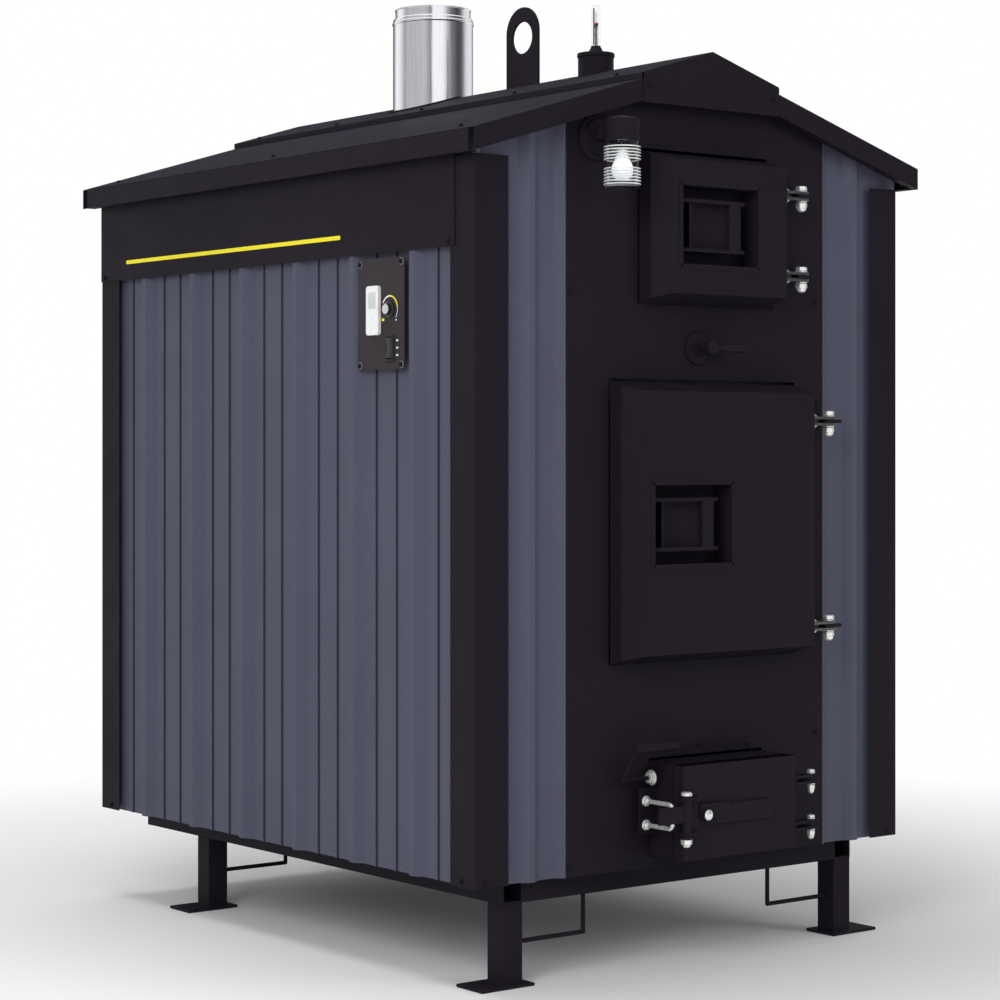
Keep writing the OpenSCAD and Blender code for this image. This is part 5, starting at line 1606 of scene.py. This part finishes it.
@dataclass
class RoofFittings:
    """Chimney, lifting lug, vent pipe and the clear level tube with its float rod."""

    flue_radius: float = 0.1016
    flue_wall: float = 0.002
    collar_radius: float = 0.0955
    collar_height: float = 0.024
    bead: float = 0.0022
    seam_width: float = 0.010
    seam_angle: float = -143.0
    tube_radius: float = 0.0105
    tube_wall: float = 0.0012
    scale_marks: int = 14
    scale_heading: float = -37.9

    def build(self) -> None:
        """Makes all fittings of the roof."""
        self.chimney()
        softened("lifting_lug", 0.0012, BLACK, 2)
        self.vent()
        self.level()

    def chimney(self) -> None:
        """Makes the chimney: rolled sheet with a seam, a bead, and a narrower collar with a rolled rim."""
        low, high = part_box("chimney_pipe")
        r, wall, c = self.flue_radius, self.flue_wall, self.collar_radius
        top, mid = high.z, high.z - self.collar_height
        b = self.bead
        outside = [
            (r, low.z), (r, mid - 0.016), (r + b * 0.7, mid - 0.0145), (r + b, mid - 0.012),
            (r + b * 0.7, mid - 0.0095), (r, mid - 0.008), (r - 0.0002, mid - 0.003), (r - 0.002, mid),
            (c + 0.0005, mid + 0.0008), (c, mid + 0.002), (c, top - 0.004), (c + 0.0012, top - 0.003),
            (c + 0.0014, top - 0.0012), (c + 0.0004, top)
        ]
        inside = [
            (c - wall, top - 0.0006), (c - wall, mid), (r - wall, mid - 0.004), (r - wall, low.z), (r, low.z)
        ]
        middle = over(low, high)
        pipe = revolved([*outside, *inside], middle, Axis.Z, 96, 35.0, STAINLESS)
        seam = self.seam(middle, low.z, mid - 0.017)
        place_piece(joined([pipe, seam]), "chimney_sheet", STAINLESS, ["chimney_pipe"])

    def seam(self, middle: Point, low: float, high: float) -> Piece:
        """Makes the lapped seam that runs up the pipe, as a thin strip bent round it.

        Args:
            middle: the foot of the pipe's axis.
            low: the height of its lower end.
            high: the height of its upper end.

        Returns:
            The seam.
        """
        r = self.flue_radius
        quarter = self.seam_width / 4
        first = -self.seam_width * 3 / 8
        lay_down()
        bpy.ops.mesh.primitive_plane_add(size=1.0, rotation=Axis.X.value)
        strip = bpy.context.active_object
        strip.scale = (high - low, quarter, 1.0)
        strip.location = (r, first, (low + high) / 2)
        settle(strip)
        with editing(strip, "EDGE"):
            pick(strip, lambda e: all(v.co.y > first for v in e.verts), "EDGE")
            for _ in range(3):
                extrude_by(0, quarter, 0)
        for vert in strip.data.vertices:
            turn, skin = vert.co.y / r, r + 0.0001
            vert.co.x, vert.co.y = skin * math.cos(turn), skin * math.sin(turn)
        modify(strip, "SOLIDIFY", thickness=0.0007, offset=1.0)
        closed(strip)
        smooth(strip, 35.0)
        heading = Matrix.Rotation(math.radians(self.seam_angle), 4, "Z")
        strip.matrix_world = Matrix.Translation(middle) @ heading
        settle(strip)
        return dress(strip, STAINLESS)

    def vent(self) -> None:
        """Makes the vent pipe with its rimmed cap and the cone that holds the level tube."""
        low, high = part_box("vent_pipe")
        middle = over(low, high)
        r = (high.x - low.x) / 2
        body, top, tube = r - 0.002, high.z - 0.018, self.tube_radius
        profile = [
            (0.012, low.z), (body, low.z), (body, top - 0.0105), (r - 0.0004, top - 0.0095),
            (r, top - 0.0085), (r, top - 0.0012), (r - 0.0012, top), (0.022, top + 0.0008),
            (0.0185, top + 0.0022), (tube + 0.0012, top + 0.0150), (tube + 0.0004, top + 0.018),
            (0.004, top + 0.018), (0.004, top - 0.004), (body - 0.004, top - 0.004),
            (body - 0.004, low.z + 0.004), (0.012, low.z + 0.004), (0.012, low.z)
        ]
        pipe = revolved(profile, middle, Axis.Z, 64, 32.0, BLACK)
        place_piece(pipe, "vent_pipe_with_cap", BLACK, ["vent_pipe"])

    def level(self) -> None:
        """Makes the clear tube with its printed scale, and the float inside it."""
        low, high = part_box("level_tube")
        middle = over(low, high)
        r, bore, top = self.tube_radius, self.tube_radius - self.tube_wall, high.z
        profile = [
            (bore, low.z), (r, low.z), (r, top - 0.0015), (r - 0.0008, top - 0.0003), (0, top - 0.0003),
            (0, top - 0.0022), (bore, top - 0.0030), (bore, low.z)
        ]
        tube = revolved(profile, middle, Axis.Z, 48, 40.0, TUBE)
        place_piece(tube, "level_tube_clear", TUBE, ["level_tube"])
        self.level_scale(middle, low.z, high.z)
        self.float_piece(middle)

    def float_piece(self, middle: Point) -> None:
        """Makes the float with its dark rod and the red disc on the rod's tip."""
        low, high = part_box("float_rod")
        foot, tip, wide = low.z, high.z - 0.007, (high.x - low.x) / 2
        rod = revolved(
            [(0, foot + 0.055), (0.002, foot + 0.055), (0.002, tip - 0.012), (0.0052, tip - 0.0042),
             (0.0056, tip - 0.0026), (0, tip - 0.0026)], middle, Axis.Z, 24, 30.0, FLOAT_ROD
        )
        float_body = revolved(
            [(0, foot), (wide - 0.006, foot), (wide - 0.001, foot + 0.004), (wide, foot + 0.010),
             (wide, foot + 0.050), (wide - 0.002, foot + 0.056), (wide - 0.008, foot + 0.060),
             (0, foot + 0.060)], middle, Axis.Z, 40, 40.0, FLOAT
        )
        band = revolved(
            [(0, tip - 0.0028), (0.0060, tip - 0.0026), (0.0062, tip - 0.0010), (0.0056, tip), (0, tip)],
            middle, Axis.Z, 28, 40.0, FLOAT
        )
        piece = joined([rod, float_body, band])
        place_piece(piece, "float_rod_with_band", FLOAT, ["float_rod"])

    def level_scale(self, middle: Point, low: float, high: float) -> None:
        """Makes the white strip inside the tube, with its dark margin and marks.

        Args:
            middle: the foot of the tube's axis.
            low: the height of the tube's lower end.
            high: the height of its upper end.
        """
        half, back, margin = 0.0063, 0.0005, 0.0032
        foot, head = low + 0.004, high - 0.006
        strip = dress(rounded(box((-half, -back, foot), (half, back, head)), 0.0003, 1), PRINT_WHITE)
        inks = [box((-half, -back - 0.0003, foot), (margin - half, back, head))]
        step = (high - low - 0.020) / self.scale_marks
        start = margin - half + 0.001
        for k in range(self.scale_marks):
            long = 0.0052 if k % 3 == 0 else 0.0028
            z = low + 0.008 + k * step
            inks.append(box((start, -back - 0.0002, z), (start + long, -back, z + 0.0012)))
        for ink in inks:
            modify(ink, "BEVEL", width=0.0001, segments=1)
            dress(ink, INK)
        piece = joined([strip, *inks])
        towards = Matrix.Rotation(math.radians(self.scale_heading), 4, "Z")
        piece.matrix_world = Matrix.Translation(middle) @ towards @ Matrix.Translation((0, 0.0064, 0))
        settle(piece)
        place_piece(piece, "level_scale_strip", PRINT_WHITE)


@dataclass
class PorchLamp:
    """The lamp over the doors: stepped back plate, arm, cap, ribbed glass jar and opal bulb."""

    at: Point = mm(-302, -877, 1818)
    cap_z: float = 1.801
    cap_radius: float = 0.037
    jar_radius: float = 0.040
    jar_height: float = 0.102
    glass: float = 0.0030
    rings: int = 5
    ring_pitch: float = 0.0066
    ring_rise: float = 0.0026

    def build(self) -> None:
        """Makes the lamp."""
        self.housing()
        self.jar()
        self.bulb()

    def housing(self) -> None:
        """Makes the round back plate with its steps, the arm and the cap with its low cone."""
        x, y, z = self.at
        plate = revolved(
            [(0, 0), (0.0495, 0), (0.0500, 0.0008), (0.0500, 0.0052), (0.0485, 0.0068), (0.0425, 0.0080),
             (0.0400, 0.0092), (0.0395, 0.0128), (0.0380, 0.0140), (0.0200, 0.0150), (0, 0.0150)],
            (x, FRONT_WALL, z), Axis.MINUS_Y, 64, 30.0, BLACK
        )
        arm = box((x - 0.013, y + 0.020, z - 0.010), (x + 0.013, FRONT_WALL - 0.013, z + 0.016))
        rounded(arm, 0.0055, 5)
        r, base = self.cap_radius, self.cap_z
        cap = revolved(
            [(0, -0.015), (0.0100, -0.016), (0.0105, -0.0155), (0.0108, 0.0), (r - 0.004, 0.0),
             (r - 0.0035, -0.0004), (r - 0.0004, -0.0004), (r, 0.0006), (r, 0.0455), (r - 0.0006, 0.0470),
             (r - 0.0022, 0.0482), (r - 0.012, 0.0515), (0.0150, 0.0540), (0.0060, 0.0557), (0, 0.0560)],
            (x, y, base), Axis.Z, 64, 26.0, BLACK
        )
        piece = joined([plate, dress(arm, BLACK), cap])
        place_piece(piece, "lamp_housing_turned", BLACK, ["lamp_housing"])

    def ring(self, middle: float) -> Profile:
        """Returns the rounded outline of one ring of the jar, from below it to above it."""
        rise, half = self.ring_rise, self.ring_pitch / 2
        r = self.jar_radius - rise
        return [
            (r, middle - half * 0.62), (r + rise * 0.72, middle - half * 0.40), (r + rise, middle),
            (r + rise * 0.72, middle + half * 0.40), (r, middle + half * 0.62)
        ]

    def jar(self) -> None:
        """Makes the glass jar: rings below, a smooth waist, rings above and a closed round bottom."""
        x, y, _ = self.at
        low, top = self.cap_z - self.jar_height, self.cap_z - 0.0004
        r, glass = self.jar_radius - self.ring_rise, self.glass
        below = [low + 0.0100 + k * self.ring_pitch for k in range(self.rings + 1)]
        above = [top - 0.0120 - k * self.ring_pitch for k in range(self.rings)][::-1]
        outside = [(0, low), (r - 0.014, low + 0.0002), (r - 0.006, low + 0.0016), (r - 0.0012, low + 0.0052)]
        outside += [point for middle in (*below, *above) for point in self.ring(middle)]
        inner = r - glass
        rim = [(r, top - 0.001), (r - 0.001, top), (inner + 0.001, top)]
        inside = [
            (inner, top - 0.0004), (inner, low + 0.010), (inner - 0.003, low + 0.0055),
            (inner - 0.010, low + 0.0036), (0, low + 0.0034)
        ]
        piece = revolved([*outside, *rim, *inside], (x, y, 0), Axis.Z, 72, 60.0, JAR)
        # Painted highlights: the crests of the rings get the pale opaque finish.
        crest = self.jar_radius - self.ring_rise * 0.2
        repaint(piece, JAR_RIB_HIGHLIGHT, lambda f: math.hypot(f.center.x - x, f.center.y - y) > crest)
        place_piece(piece, "lamp_jar_ribbed", JAR, ["lamp_jar"])

    def bulb(self) -> None:
        """Makes the pear-shaped opal bulb with its screw base, tip down."""
        x, y, _ = self.at
        top = self.cap_z - 0.0164
        glass = [
            (0.0115, -0.009), (0.0125, -0.0135), (0.0150, -0.0200), (0.0185, -0.0280), (0.0218, -0.0350),
            (0.0236, -0.0410), (0.0240, -0.0460), (0.0230, -0.0515), (0.0200, -0.0575), (0.0150, -0.0625),
            (0.0080, -0.0653), (0, -0.0660)
        ]
        lamp = revolved([(0, -0.009), *glass][::-1], (x, y, top), Axis.Z, 48, 60.0, BULB)
        steps = [k * 0.0022 for k in range(4)]
        ridges = [point for rise in steps for point in ((0.0098, -0.0088 + rise), (0.0105, -0.0077 + rise))]
        screw = [(0, -0.0092), (0.0112, -0.0092), *ridges, (0, 0.0)]
        base = revolved(screw, (x, y, top), Axis.Z, 32, 60.0, ZINC)
        place_piece(joined([lamp, base]), "lamp_bulb_pear", BULB, ["lamp_bulb"])


@dataclass
class Damper:
    """The damper's lever and its stepped rosette on the front panel."""

    rod: float = 0.008
    lever_y: float = -0.832
    reach: float = 0.105
    bar: float = 0.010
    hub: float = 0.016
    rosette: float = 0.038
    at: tuple[float, float] = (-0.006, 1.370)

    def build(self) -> None:
        """Makes the lever with its rod, and the rosette."""
        x, z = self.at
        start, end = self.lever_y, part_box("damper_lever")[1].y
        r, hub, bar, reach, rim = self.rod, self.hub, self.bar, self.reach, self.rosette
        rod = revolved(
            [(0, start), (r, start), (r, end - 0.001), (r - 0.001, end), (0, end)],
            (x, 0, z), Axis.Y, 32, 40.0, BLACK
        )
        boss = revolved(
            [(0, -0.0120), (hub - 0.002, -0.0120), (hub, -0.0100), (hub, 0.0095), (hub - 0.002, 0.0120),
             (0, 0.0120)], (x, start, z), Axis.Y, 40, 35.0, BLACK
        )
        lever = revolved(
            [(0, 0.006), (bar * 0.72, 0.006), (bar * 0.76, 0.020), (bar * 0.80, 0.036), (bar * 0.98, 0.042),
             (bar, 0.050), (bar, reach - 0.010), (bar * 0.86, reach - 0.004), (bar * 0.5, reach - 0.0008),
             (0, reach)], (x, start, z), Axis.X, 32, 35.0, BLACK
        )
        piece = joined([rod, boss, lever])
        place_piece(piece, "damper_lever_turned", BLACK, ["damper_lever"])
        bore = r + 0.0002
        rosette = revolved(
            [(bore, 0), (rim - 0.0008, 0), (rim, 0.0008), (rim, 0.0040), (rim - 0.0020, 0.0060),
             (0.0200, 0.0062), (0.0184, 0.0070), (0.0180, 0.0085), (0.0178, 0.0112), (0.0168, 0.0120),
             (bore, 0.0120), (bore, 0)], (x, FRONT_WALL, z), Axis.MINUS_Y, 56, 30.0, BLACK
        )
        place_piece(rosette, "damper_rosette_turned", BLACK, ["damper_rosette"])


# ---- Control plate ----

@dataclass
class Controls:
    """The printed plate on the left wall with its display, temperature knob and rocker switch.

    Places on the plate are given along Y and Z; the plate faces -X.
    """

    skin: float = -0.6315
    print_rise: float = 0.00025
    knob: tuple[float, float] = (-0.485, 1.449)
    scale_radius: float = 0.0290
    switch: tuple[float, float] = (-0.4875, 1.3645)
    rocker: tuple[float, float] = (0.021, 0.049)
    word_y: float = -0.5130
    word_z: tuple[float, ...] = (1.3805, 1.3645, 1.3485)

    def build(self) -> None:
        """Makes the plate and all that is on it."""
        softened("control_plate", 0.0007, PLATE)
        self.display()
        self.knob_pieces()
        self.scale()
        self.rocker_piece()
        self.marks()

    def flat(
        self, y: float, z: float, width: float, height: float, corner: float, thick: float, lift: float = 0.0
    ) -> Piece:
        """Makes a plate with round corners that lies on the skin and faces -X.

        Args:
            y: its middle along Y.
            z: its middle along Z.
            width: its size along Y.
            height: its size along Z.
            corner: the radius of its corners.
            thick: how far it stands out.
            lift: how far in front of the skin it starts.

        Returns:
            The plate.
        """
        piece = panel(Axis.MINUS_X, (height, width), (self.skin - lift, y, z), corner, 6)
        with editing(piece, "FACE", True):
            extrude_by(-thick, 0, 0)
        closed(piece)
        return piece

    def display(self) -> None:
        """Makes the white display case with a sunk, blank screen and two small keys."""
        low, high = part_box("control_display")
        y, z = (low.y + high.y) / 2, (low.z + high.z) / 2
        width, height = high.y - low.y, high.z - low.z
        case = self.flat(y, z, width, height, 0.007, high.x - low.x)
        with editing(case, "FACE"):
            pick(case, lambda f: f.normal.x < -0.9 and f.calc_center_median().x < low.x + 0.001)
            bpy.ops.mesh.inset(thickness=0.0012, depth=0.0008)
            bpy.ops.mesh.inset(thickness=0.0028, depth=0.0)
            bpy.ops.mesh.inset(thickness=0.0006, depth=-0.0007)
        rounded(case, 0.0004, 2, 40.0)
        dress(case, DISPLAY)
        face = high.x - low.x
        screen = self.flat(y, z + 0.022, width * 0.62, height * 0.34, 0.003, 0.0006, face - 0.0004)
        parts = [case, dress(rounded(screen, 0.0002, 1), SCREEN)]
        for key_z in (z - 0.016, z - 0.035):
            key = self.flat(y, key_z, 0.013, 0.010, 0.0045, 0.0012, face - 0.0006)
            parts.append(dress(rounded(key, 0.0004, 2), DISPLAY))
        place_piece(joined(parts), "display_case", DISPLAY, ["control_display"])

    def knob_pieces(self) -> None:
        """Makes the fluted knob with its skirt and its bright cap disc."""
        y, z = self.knob
        centre = (self.skin, y, z)
        reach = self.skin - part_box("control_knob")[0].x
        skirt = revolved(
            [(0, 0.0009), (0.0178, 0.0009), (0.0190, 0.0016), (0.0188, 0.0034), (0.0165, 0.0044),
             (0.0135, 0.0050), (0, 0.0050)], centre, Axis.MINUS_X, 56, 35.0, KNOB
        )
        cap = revolved(
            [(0, reach - 0.0016), (0.0107, reach - 0.0016), (0.0110, reach - 0.0008),
             (0.0106, reach - 0.0002), (0.0092, reach - 0.0001), (0.0088, reach - 0.0005),
             (0, reach - 0.0006)], centre, Axis.MINUS_X, 48, 30.0, KNOB_CAP
        )
        shaft = revolved(
            [(0, -0.0118), (0.0029, -0.0118), (0.0029, 0.0012), (0, 0.0012)], centre, Axis.MINUS_X, 24, 40.0,
            STEEL
        )
        pointer = box(
            (self.skin - reach + 0.0010, y - 0.0009, z + 0.0105), (self.skin - 0.0048, y + 0.0009, z + 0.0131)
        )
        rounded(pointer, 0.0003, 2)
        piece = joined([skirt, self.fluted_barrel(centre, reach), cap, shaft, dress(pointer, PRINT_WHITE)])
        place_piece(piece, "temperature_knob", KNOB, ["control_knob"])

    @staticmethod
    def fluted_barrel(centre: Point, reach: float) -> Piece:
        """Makes the knob's barrel: every third face around it is pressed in as a flute.

        Args:
            centre: the foot of the knob, on the plate.
            reach: how far the knob stands out.

        Returns:
            The barrel.
        """
        sides = 60
        end = reach - 0.0010
        profile = [(0, 0.0046), (0.0128, 0.0046), (0.0126, reach - 0.0022), (0.0116, end), (0, end)]
        barrel = turned(profile, sides)

        def is_flute(face: bmesh.types.BMFace) -> bool:
            """Tells whether a face of the barrel's side is one of the flutes."""
            middle = face.calc_center_median()
            turn = math.atan2(middle.y, middle.x) + math.pi
            return abs(face.normal.z) < 0.4 and int(turn / (2 * math.pi / sides) + 0.01) % 3 == 0

        with editing(barrel, "FACE"):
            pick(barrel, is_flute)
            bpy.ops.mesh.inset(thickness=0.0002, depth=-0.0007, use_individual=True)
        smooth(barrel, 28.0)
        return dress(laid(barrel, centre, Axis.MINUS_X), KNOB)

    def arc(self, start: float, end: float, width: float, finish: Finish) -> Piece:
        """Makes a printed arc round the knob.

        Args:
            start: where it starts, in degrees clockwise from the top as seen.
            end: where it ends.
            width: its width, in metres.
            finish: the print's finish.

        Returns:
            The arc.
        """
        y, z = self.knob
        inner, outer, rise = self.scale_radius - width / 2, self.scale_radius + width / 2, self.print_rise
        ring = turned([(inner, 0), (inner, rise), (outer, rise), (outer, 0), (inner, 0)], 120)
        laid(ring, (self.skin, y, z), Axis.MINUS_X)

        def is_outside(face: bmesh.types.BMFace) -> bool:
            """Tells whether a face of the ring lies before the start or past the end."""
            middle = face.calc_center_median()
            return not start < math.degrees(math.atan2(y - middle.y, middle.z - z)) < end

        with editing(ring, "FACE"):
            pick(ring, is_outside)
            bpy.ops.mesh.delete(type="FACE")
            bpy.ops.mesh.select_all(action="SELECT")
            bpy.ops.mesh.fill_holes(sides=4)
        closed(ring)
        return dress(ring, finish)

    def scale(self) -> None:
        """Makes the printed scale round the knob: white, then yellow, then a thin white rest."""
        parts = [
            self.arc(-60.0, 0.0, 0.0034, PRINT_WHITE), self.arc(0.0, 80.0, 0.0034, YELLOW),
            self.arc(80.0, 130.0, 0.0014, PRINT_WHITE)
        ]
        place_piece(joined(parts), "knob_scale_print", PRINT_WHITE)

    def rocker_piece(self) -> None:
        """Makes the tall rocker of the switch, hollowed a little across its middle."""
        y, z = self.switch
        width, height = self.rocker[0] / 2 - 0.0012, self.rocker[1] / 2 - 0.0022
        front, back = self.skin - 0.0072, self.skin + 0.0022
        piece = box((front, y - width, z - height), (back, y + width, z + height))
        with editing(piece, "FACE", True):
            bpy.ops.mesh.bisect(plane_co=(0, 0, z), plane_no=(0, 0, 1))
        with editing(piece, "VERT"):
            pick(piece, lambda v: abs(v.co.z - z) < TINY and v.co.x < self.skin - 0.006, "VERT")
            bpy.ops.transform.translate(value=(0.0030, 0, 0))
        rounded(piece, 0.0020, 3, 24.0)
        pin = revolved(
            [(0, -0.0120), (0.0014, -0.0120), (0.0014, 0.0120), (0, 0.0120)], (self.skin + 0.0005, y, z),
            Axis.Y, 20, 40.0, STEEL
        )
        dress(piece, KNOB)
        place_piece(joined([piece, pin]), "switch_rocker", KNOB, ["power_switch"])

    def marks(self) -> None:
        """Makes the bare printed marks: three beside the rocker and two at the ends of the scale."""
        y, z = self.knob
        rise = self.print_rise
        parts = [
            dress(self.flat(self.word_y, at, 0.0075, 0.0042, 0.0008, rise), PRINT_WHITE) for at in self.word_z
        ]
        parts.append(dress(self.flat(y + 0.0250, z - 0.0220, 0.0088, 0.0062, 0.0010, rise), YELLOW))
        parts.append(dress(self.flat(y - 0.0240, z - 0.0240, 0.0052, 0.0030, 0.0007, rise), PRINT_WHITE))
        place_piece(joined(parts), "plate_print_marks", PRINT_WHITE)


# ---- Vessel, grate, jacket frame and the pieces at the rear ----

@dataclass(frozen=True)
class Pipe:
    """A water pipe at the rear: its place, how far out it ends, and whether a thread is cut on its end."""

    x: float
    z: float
    end: float
    cut: bool


@dataclass
class Inside:
    """The pieces that the jacket hides, and the blower and pipes at the rear."""

    pipe_radius: float = 0.0167
    thread_radius: float = 0.0162
    pipe_wall: float = 0.0034
    thread_length: float = 0.025
    union_flats: float = 0.041
    union_y: tuple[float, float] = (0.800, 0.836)
    water_pipes: tuple[Pipe, ...] = (
        Pipe(0.250, 0.336, 0.928, True), Pipe(0.350, 1.426, 0.928, True), Pipe(0.060, 0.266, 0.850, False)
    )
    ash_neck: float = -0.7985

    def build(self) -> None:
        """Makes all of them."""
        for node, width, finish, segments in (
            ("jacket_frame", 0.0015, STEEL, 2), ("insulation", 0.006, WOOL, 3),
            ("water_tank", 0.003, STEEL, 2), ("firebox", 0.002, STEEL, 2), ("fire_tubes", 0.0008, STEEL, 1),
            ("firebricks", 0.0035, BRICK, 3), ("grate_frame", 0.0028, IRON, 2),
            ("grate_bar_front", 0.0022, IRON, 2), ("grate_bar_rear", 0.0022, IRON, 2),
            ("grate_link", 0.001, IRON, 2), ("damper_plate", 0.0008, STEEL, 2),
            ("blower_housing", 0.0016, BLACK, 2), ("blower_wheel", 0.0004, GALVANISED, 1),
        ):
            piece = softened(node, width, finish, segments)
            if node == "firebox":
                repaint(piece, BLACK, self.is_on_neck)
        self.pipes()

    def is_on_neck(self, face: bpy.types.MeshPolygon) -> bool:
        """Tells whether a face of the vessel reaches out of the front wall, where it is painted."""
        corners = face.id_data.vertices
        return min(corners[k].co.y for k in face.vertices) < self.ash_neck

    def pipes(self) -> None:
        """Makes the water pipes: each a tube with a hexagonal union, two of them with a cut thread."""
        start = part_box("water_pipes")[0].y
        r, bore = self.pipe_radius, self.pipe_radius - self.pipe_wall
        parts = []
        for pipe in self.water_pipes:
            at = (pipe.x, 0, pipe.z)
            shoulder = pipe.end - self.thread_length if pipe.cut else pipe.end
            parts.append(revolved(
                [(bore, start), (r, start), (r, shoulder - 0.0008), (r - 0.0008, shoulder), (bore, shoulder),
                 (bore, start)], at, Axis.Y, 48, 35.0, GALVANISED
            ))
            if pipe.cut:
                thread = threaded(self.thread_radius, shoulder - 0.002, pipe.end, 0.0022, 40)
                parts.append(dress(laid(thread, at, Axis.Y), GALVANISED))
            nut = hexagon(self.union_flats, *self.union_y, 0.0018)
            parts.append(dress(laid(nut, at, Axis.Y), GALVANISED))
        place_piece(joined(parts), "galvanised_pipes", GALVANISED, ["water_pipes"])


# ---- Studio ----

@dataclass
class Studio:
    """Pale floor, white surroundings, soft lamps, and the camera at the photograph's angle.

    Each of the bands is a heading around the boiler, in degrees, and the brightness that mirrors see there.
    """

    camera_at: Point = (-3.8646, -5.0302, 1.1424)
    camera_yaw: float = 37.89
    lens: float = 92.23
    sensor: float = 36.0
    shift: float = -0.04987
    surround: float = 0.50
    floor_radius: float = 9.0
    floor_tone: float = 0.86
    floor_fade: tuple[float, float] = (1.3, 3.2)
    screen_radius: float = 7.5
    screen_z: tuple[float, float] = (-1.5, 8.0)
    lamp_aim: Point = (0.0, 0.0, 1.0)
    bands: tuple[tuple[float, float], ...] = (
        (-180.0, 0.50), (-150.0, 0.54), (-134.0, 0.26), (-131.0, 0.26), (-129.5, 1.0), (-98.0, 1.0),
        (-74.0, 0.22), (-50.0, 0.06), (-34.0, 0.10), (-13.0, 0.75), (15.0, 0.85), (40.0, 0.10), (80.0, 0.10),
        (104.0, 1.0), (122.0, 0.90), (146.0, 0.32), (151.0, 0.50),
    )

    def build(self) -> None:
        """Makes all of the studio."""
        self.world()
        self.floor()
        self.lamps()
        self.flags()
        self.camera()

    def seen_directly(self, g: Graph) -> Wire:
        """Returns 1 for rays from the camera, a mirror or glass, and 0 for the rays that light the object."""
        rays = ("Is Camera Ray", "Is Glossy Ray", "Is Transmission Ray")
        camera, glossy, through = (g.add("ShaderNodeLightPath", output=ray) for ray in rays)
        return (camera + glossy + through).smaller(1.0)

    def world(self) -> None:
        """White seen directly, and a level light on the object."""
        world = bpy.data.worlds.new("studio")
        bpy.context.scene.world = world
        g = Graph(world)
        strength = self.seen_directly(g) * (1.0 - self.surround) + self.surround
        shader = g.add("ShaderNodeBackground", sockets={"Color": (1.0, 1.0, 1.0), "Strength": strength})
        g.add("ShaderNodeOutputWorld", sockets={"Surface": shader})

    def floor(self) -> None:
        """A pale floor that keeps the soft shadow and fades into the white around it."""
        lay_down()
        bpy.ops.mesh.primitive_circle_add(vertices=96, radius=self.floor_radius, fill_type="NGON")
        floor = bpy.context.active_object
        floor.name = "studio_floor"
        g = Graph.of_material("studio_floor_paint")
        point = g.place()
        far = (g.part(point, "X") ** 2.0 + g.part(point, "Y") ** 2.0) ** 0.5
        pale = g.add("ShaderNodeBsdfDiffuse", sockets={"Color": (self.floor_tone,) * 3}, output="BSDF")
        white = g.add("ShaderNodeEmission", sockets={"Color": (1.0, 1.0, 1.0), "Strength": 1.0})
        fade = far.fit(*self.floor_fade) * self.seen_directly(g)
        blend = g.add("ShaderNodeMixShader", sockets={0: fade, 1: pale, 2: white})
        g.add("ShaderNodeOutputMaterial", sockets={"Surface": blend})
        floor.data.materials.append(g.owner)

    def lamps(self) -> None:
        """A large soft lamp on the left of the doors, a weaker one on the right, and one over the roof."""
        for name, at, size, watts in (
            ("front_left_lamp", (-4.6, -3.2, 3.4), 3.2, 130.0),
            ("front_right_lamp", (2.6, -5.0, 2.6), 2.6, 60.0),
            ("top_lamp", (-0.6, 0.6, 5.2), 3.0, 120.0),
        ):
            lamp = bpy.data.lights.new(name, "AREA")
            lamp.shape = "DISK"
            lamp.size = size
            lamp.energy = watts
            holder = bpy.data.objects.new(name, lamp)
            holder.visible_glossy = False
            bpy.context.scene.collection.objects.link(holder)
            aim = Vector(self.lamp_aim) - Vector(at)
            holder.matrix_world = Matrix.Translation(at) @ aim.to_track_quat("-Z", "Y").to_matrix().to_4x4()

    def flags(self) -> None:
        """A round screen that only mirrors see: white, grey and dark bands, as beside a lit product."""
        screen = turned([(self.screen_radius, z) for z in self.screen_z], 96)
        screen.name = "banded_screen"
        g = Graph.of_material("banded_screen_glow")
        turn = g.add("ShaderNodeTexGradient", {"gradient_type": "RADIAL"}, {"Vector": g.place()}, "Fac")
        stops = [((heading + 180.0) / 360.0, (value, value, value * 1.02)) for heading, value in self.bands]
        ramp = g.add("ShaderNodeValToRGB", {"stops": stops}, {0: turn})
        glow = g.add("ShaderNodeEmission", sockets={"Color": ramp, "Strength": 1.0})
        g.add("ShaderNodeOutputMaterial", sockets={"Surface": glow})
        screen.data.materials.append(g.owner)
        for ray in ("camera", "diffuse", "shadow", "transmission", "volume_scatter"):
            setattr(screen, f"visible_{ray}", False)

    def camera(self) -> None:
        """The photograph's own view: level, from the left of the doors."""
        data = bpy.data.cameras.new("photo_view")
        data.lens = self.lens
        data.sensor_width = self.sensor
        data.shift_y = self.shift
        data.clip_end = 60.0
        holder = bpy.data.objects.new("photo_view", data)
        bpy.context.scene.collection.objects.link(holder)
        holder.matrix_world = (
            Matrix.Translation(self.camera_at)
            @ Matrix.Rotation(-math.radians(self.camera_yaw), 4, "Z")
            @ Matrix.Rotation(math.pi / 2, 4, "X")
        )
        bpy.context.scene.camera = holder


# ---- The whole boiler ----


def main() -> None:
    """Builds the looks around the frame."""
    logging.basicConfig(level=logging.INFO, format="%(message)s")
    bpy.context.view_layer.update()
    bpy.context.scene.view_settings.view_transform = "Standard"
    Studio().build()
    RibbedSheets().build()
    Shell().build()
    Fasteners().build()
    Door("upper_door", (0.061, 0.086)).build()
    Door("load_door", (0.064, 0.218)).build()
    AshDoor().build()
    RoofFittings().build()
    PorchLamp().build()
    Damper().build()
    Controls().build()
    Inside().build()


if __name__ == "__main__":
    main()
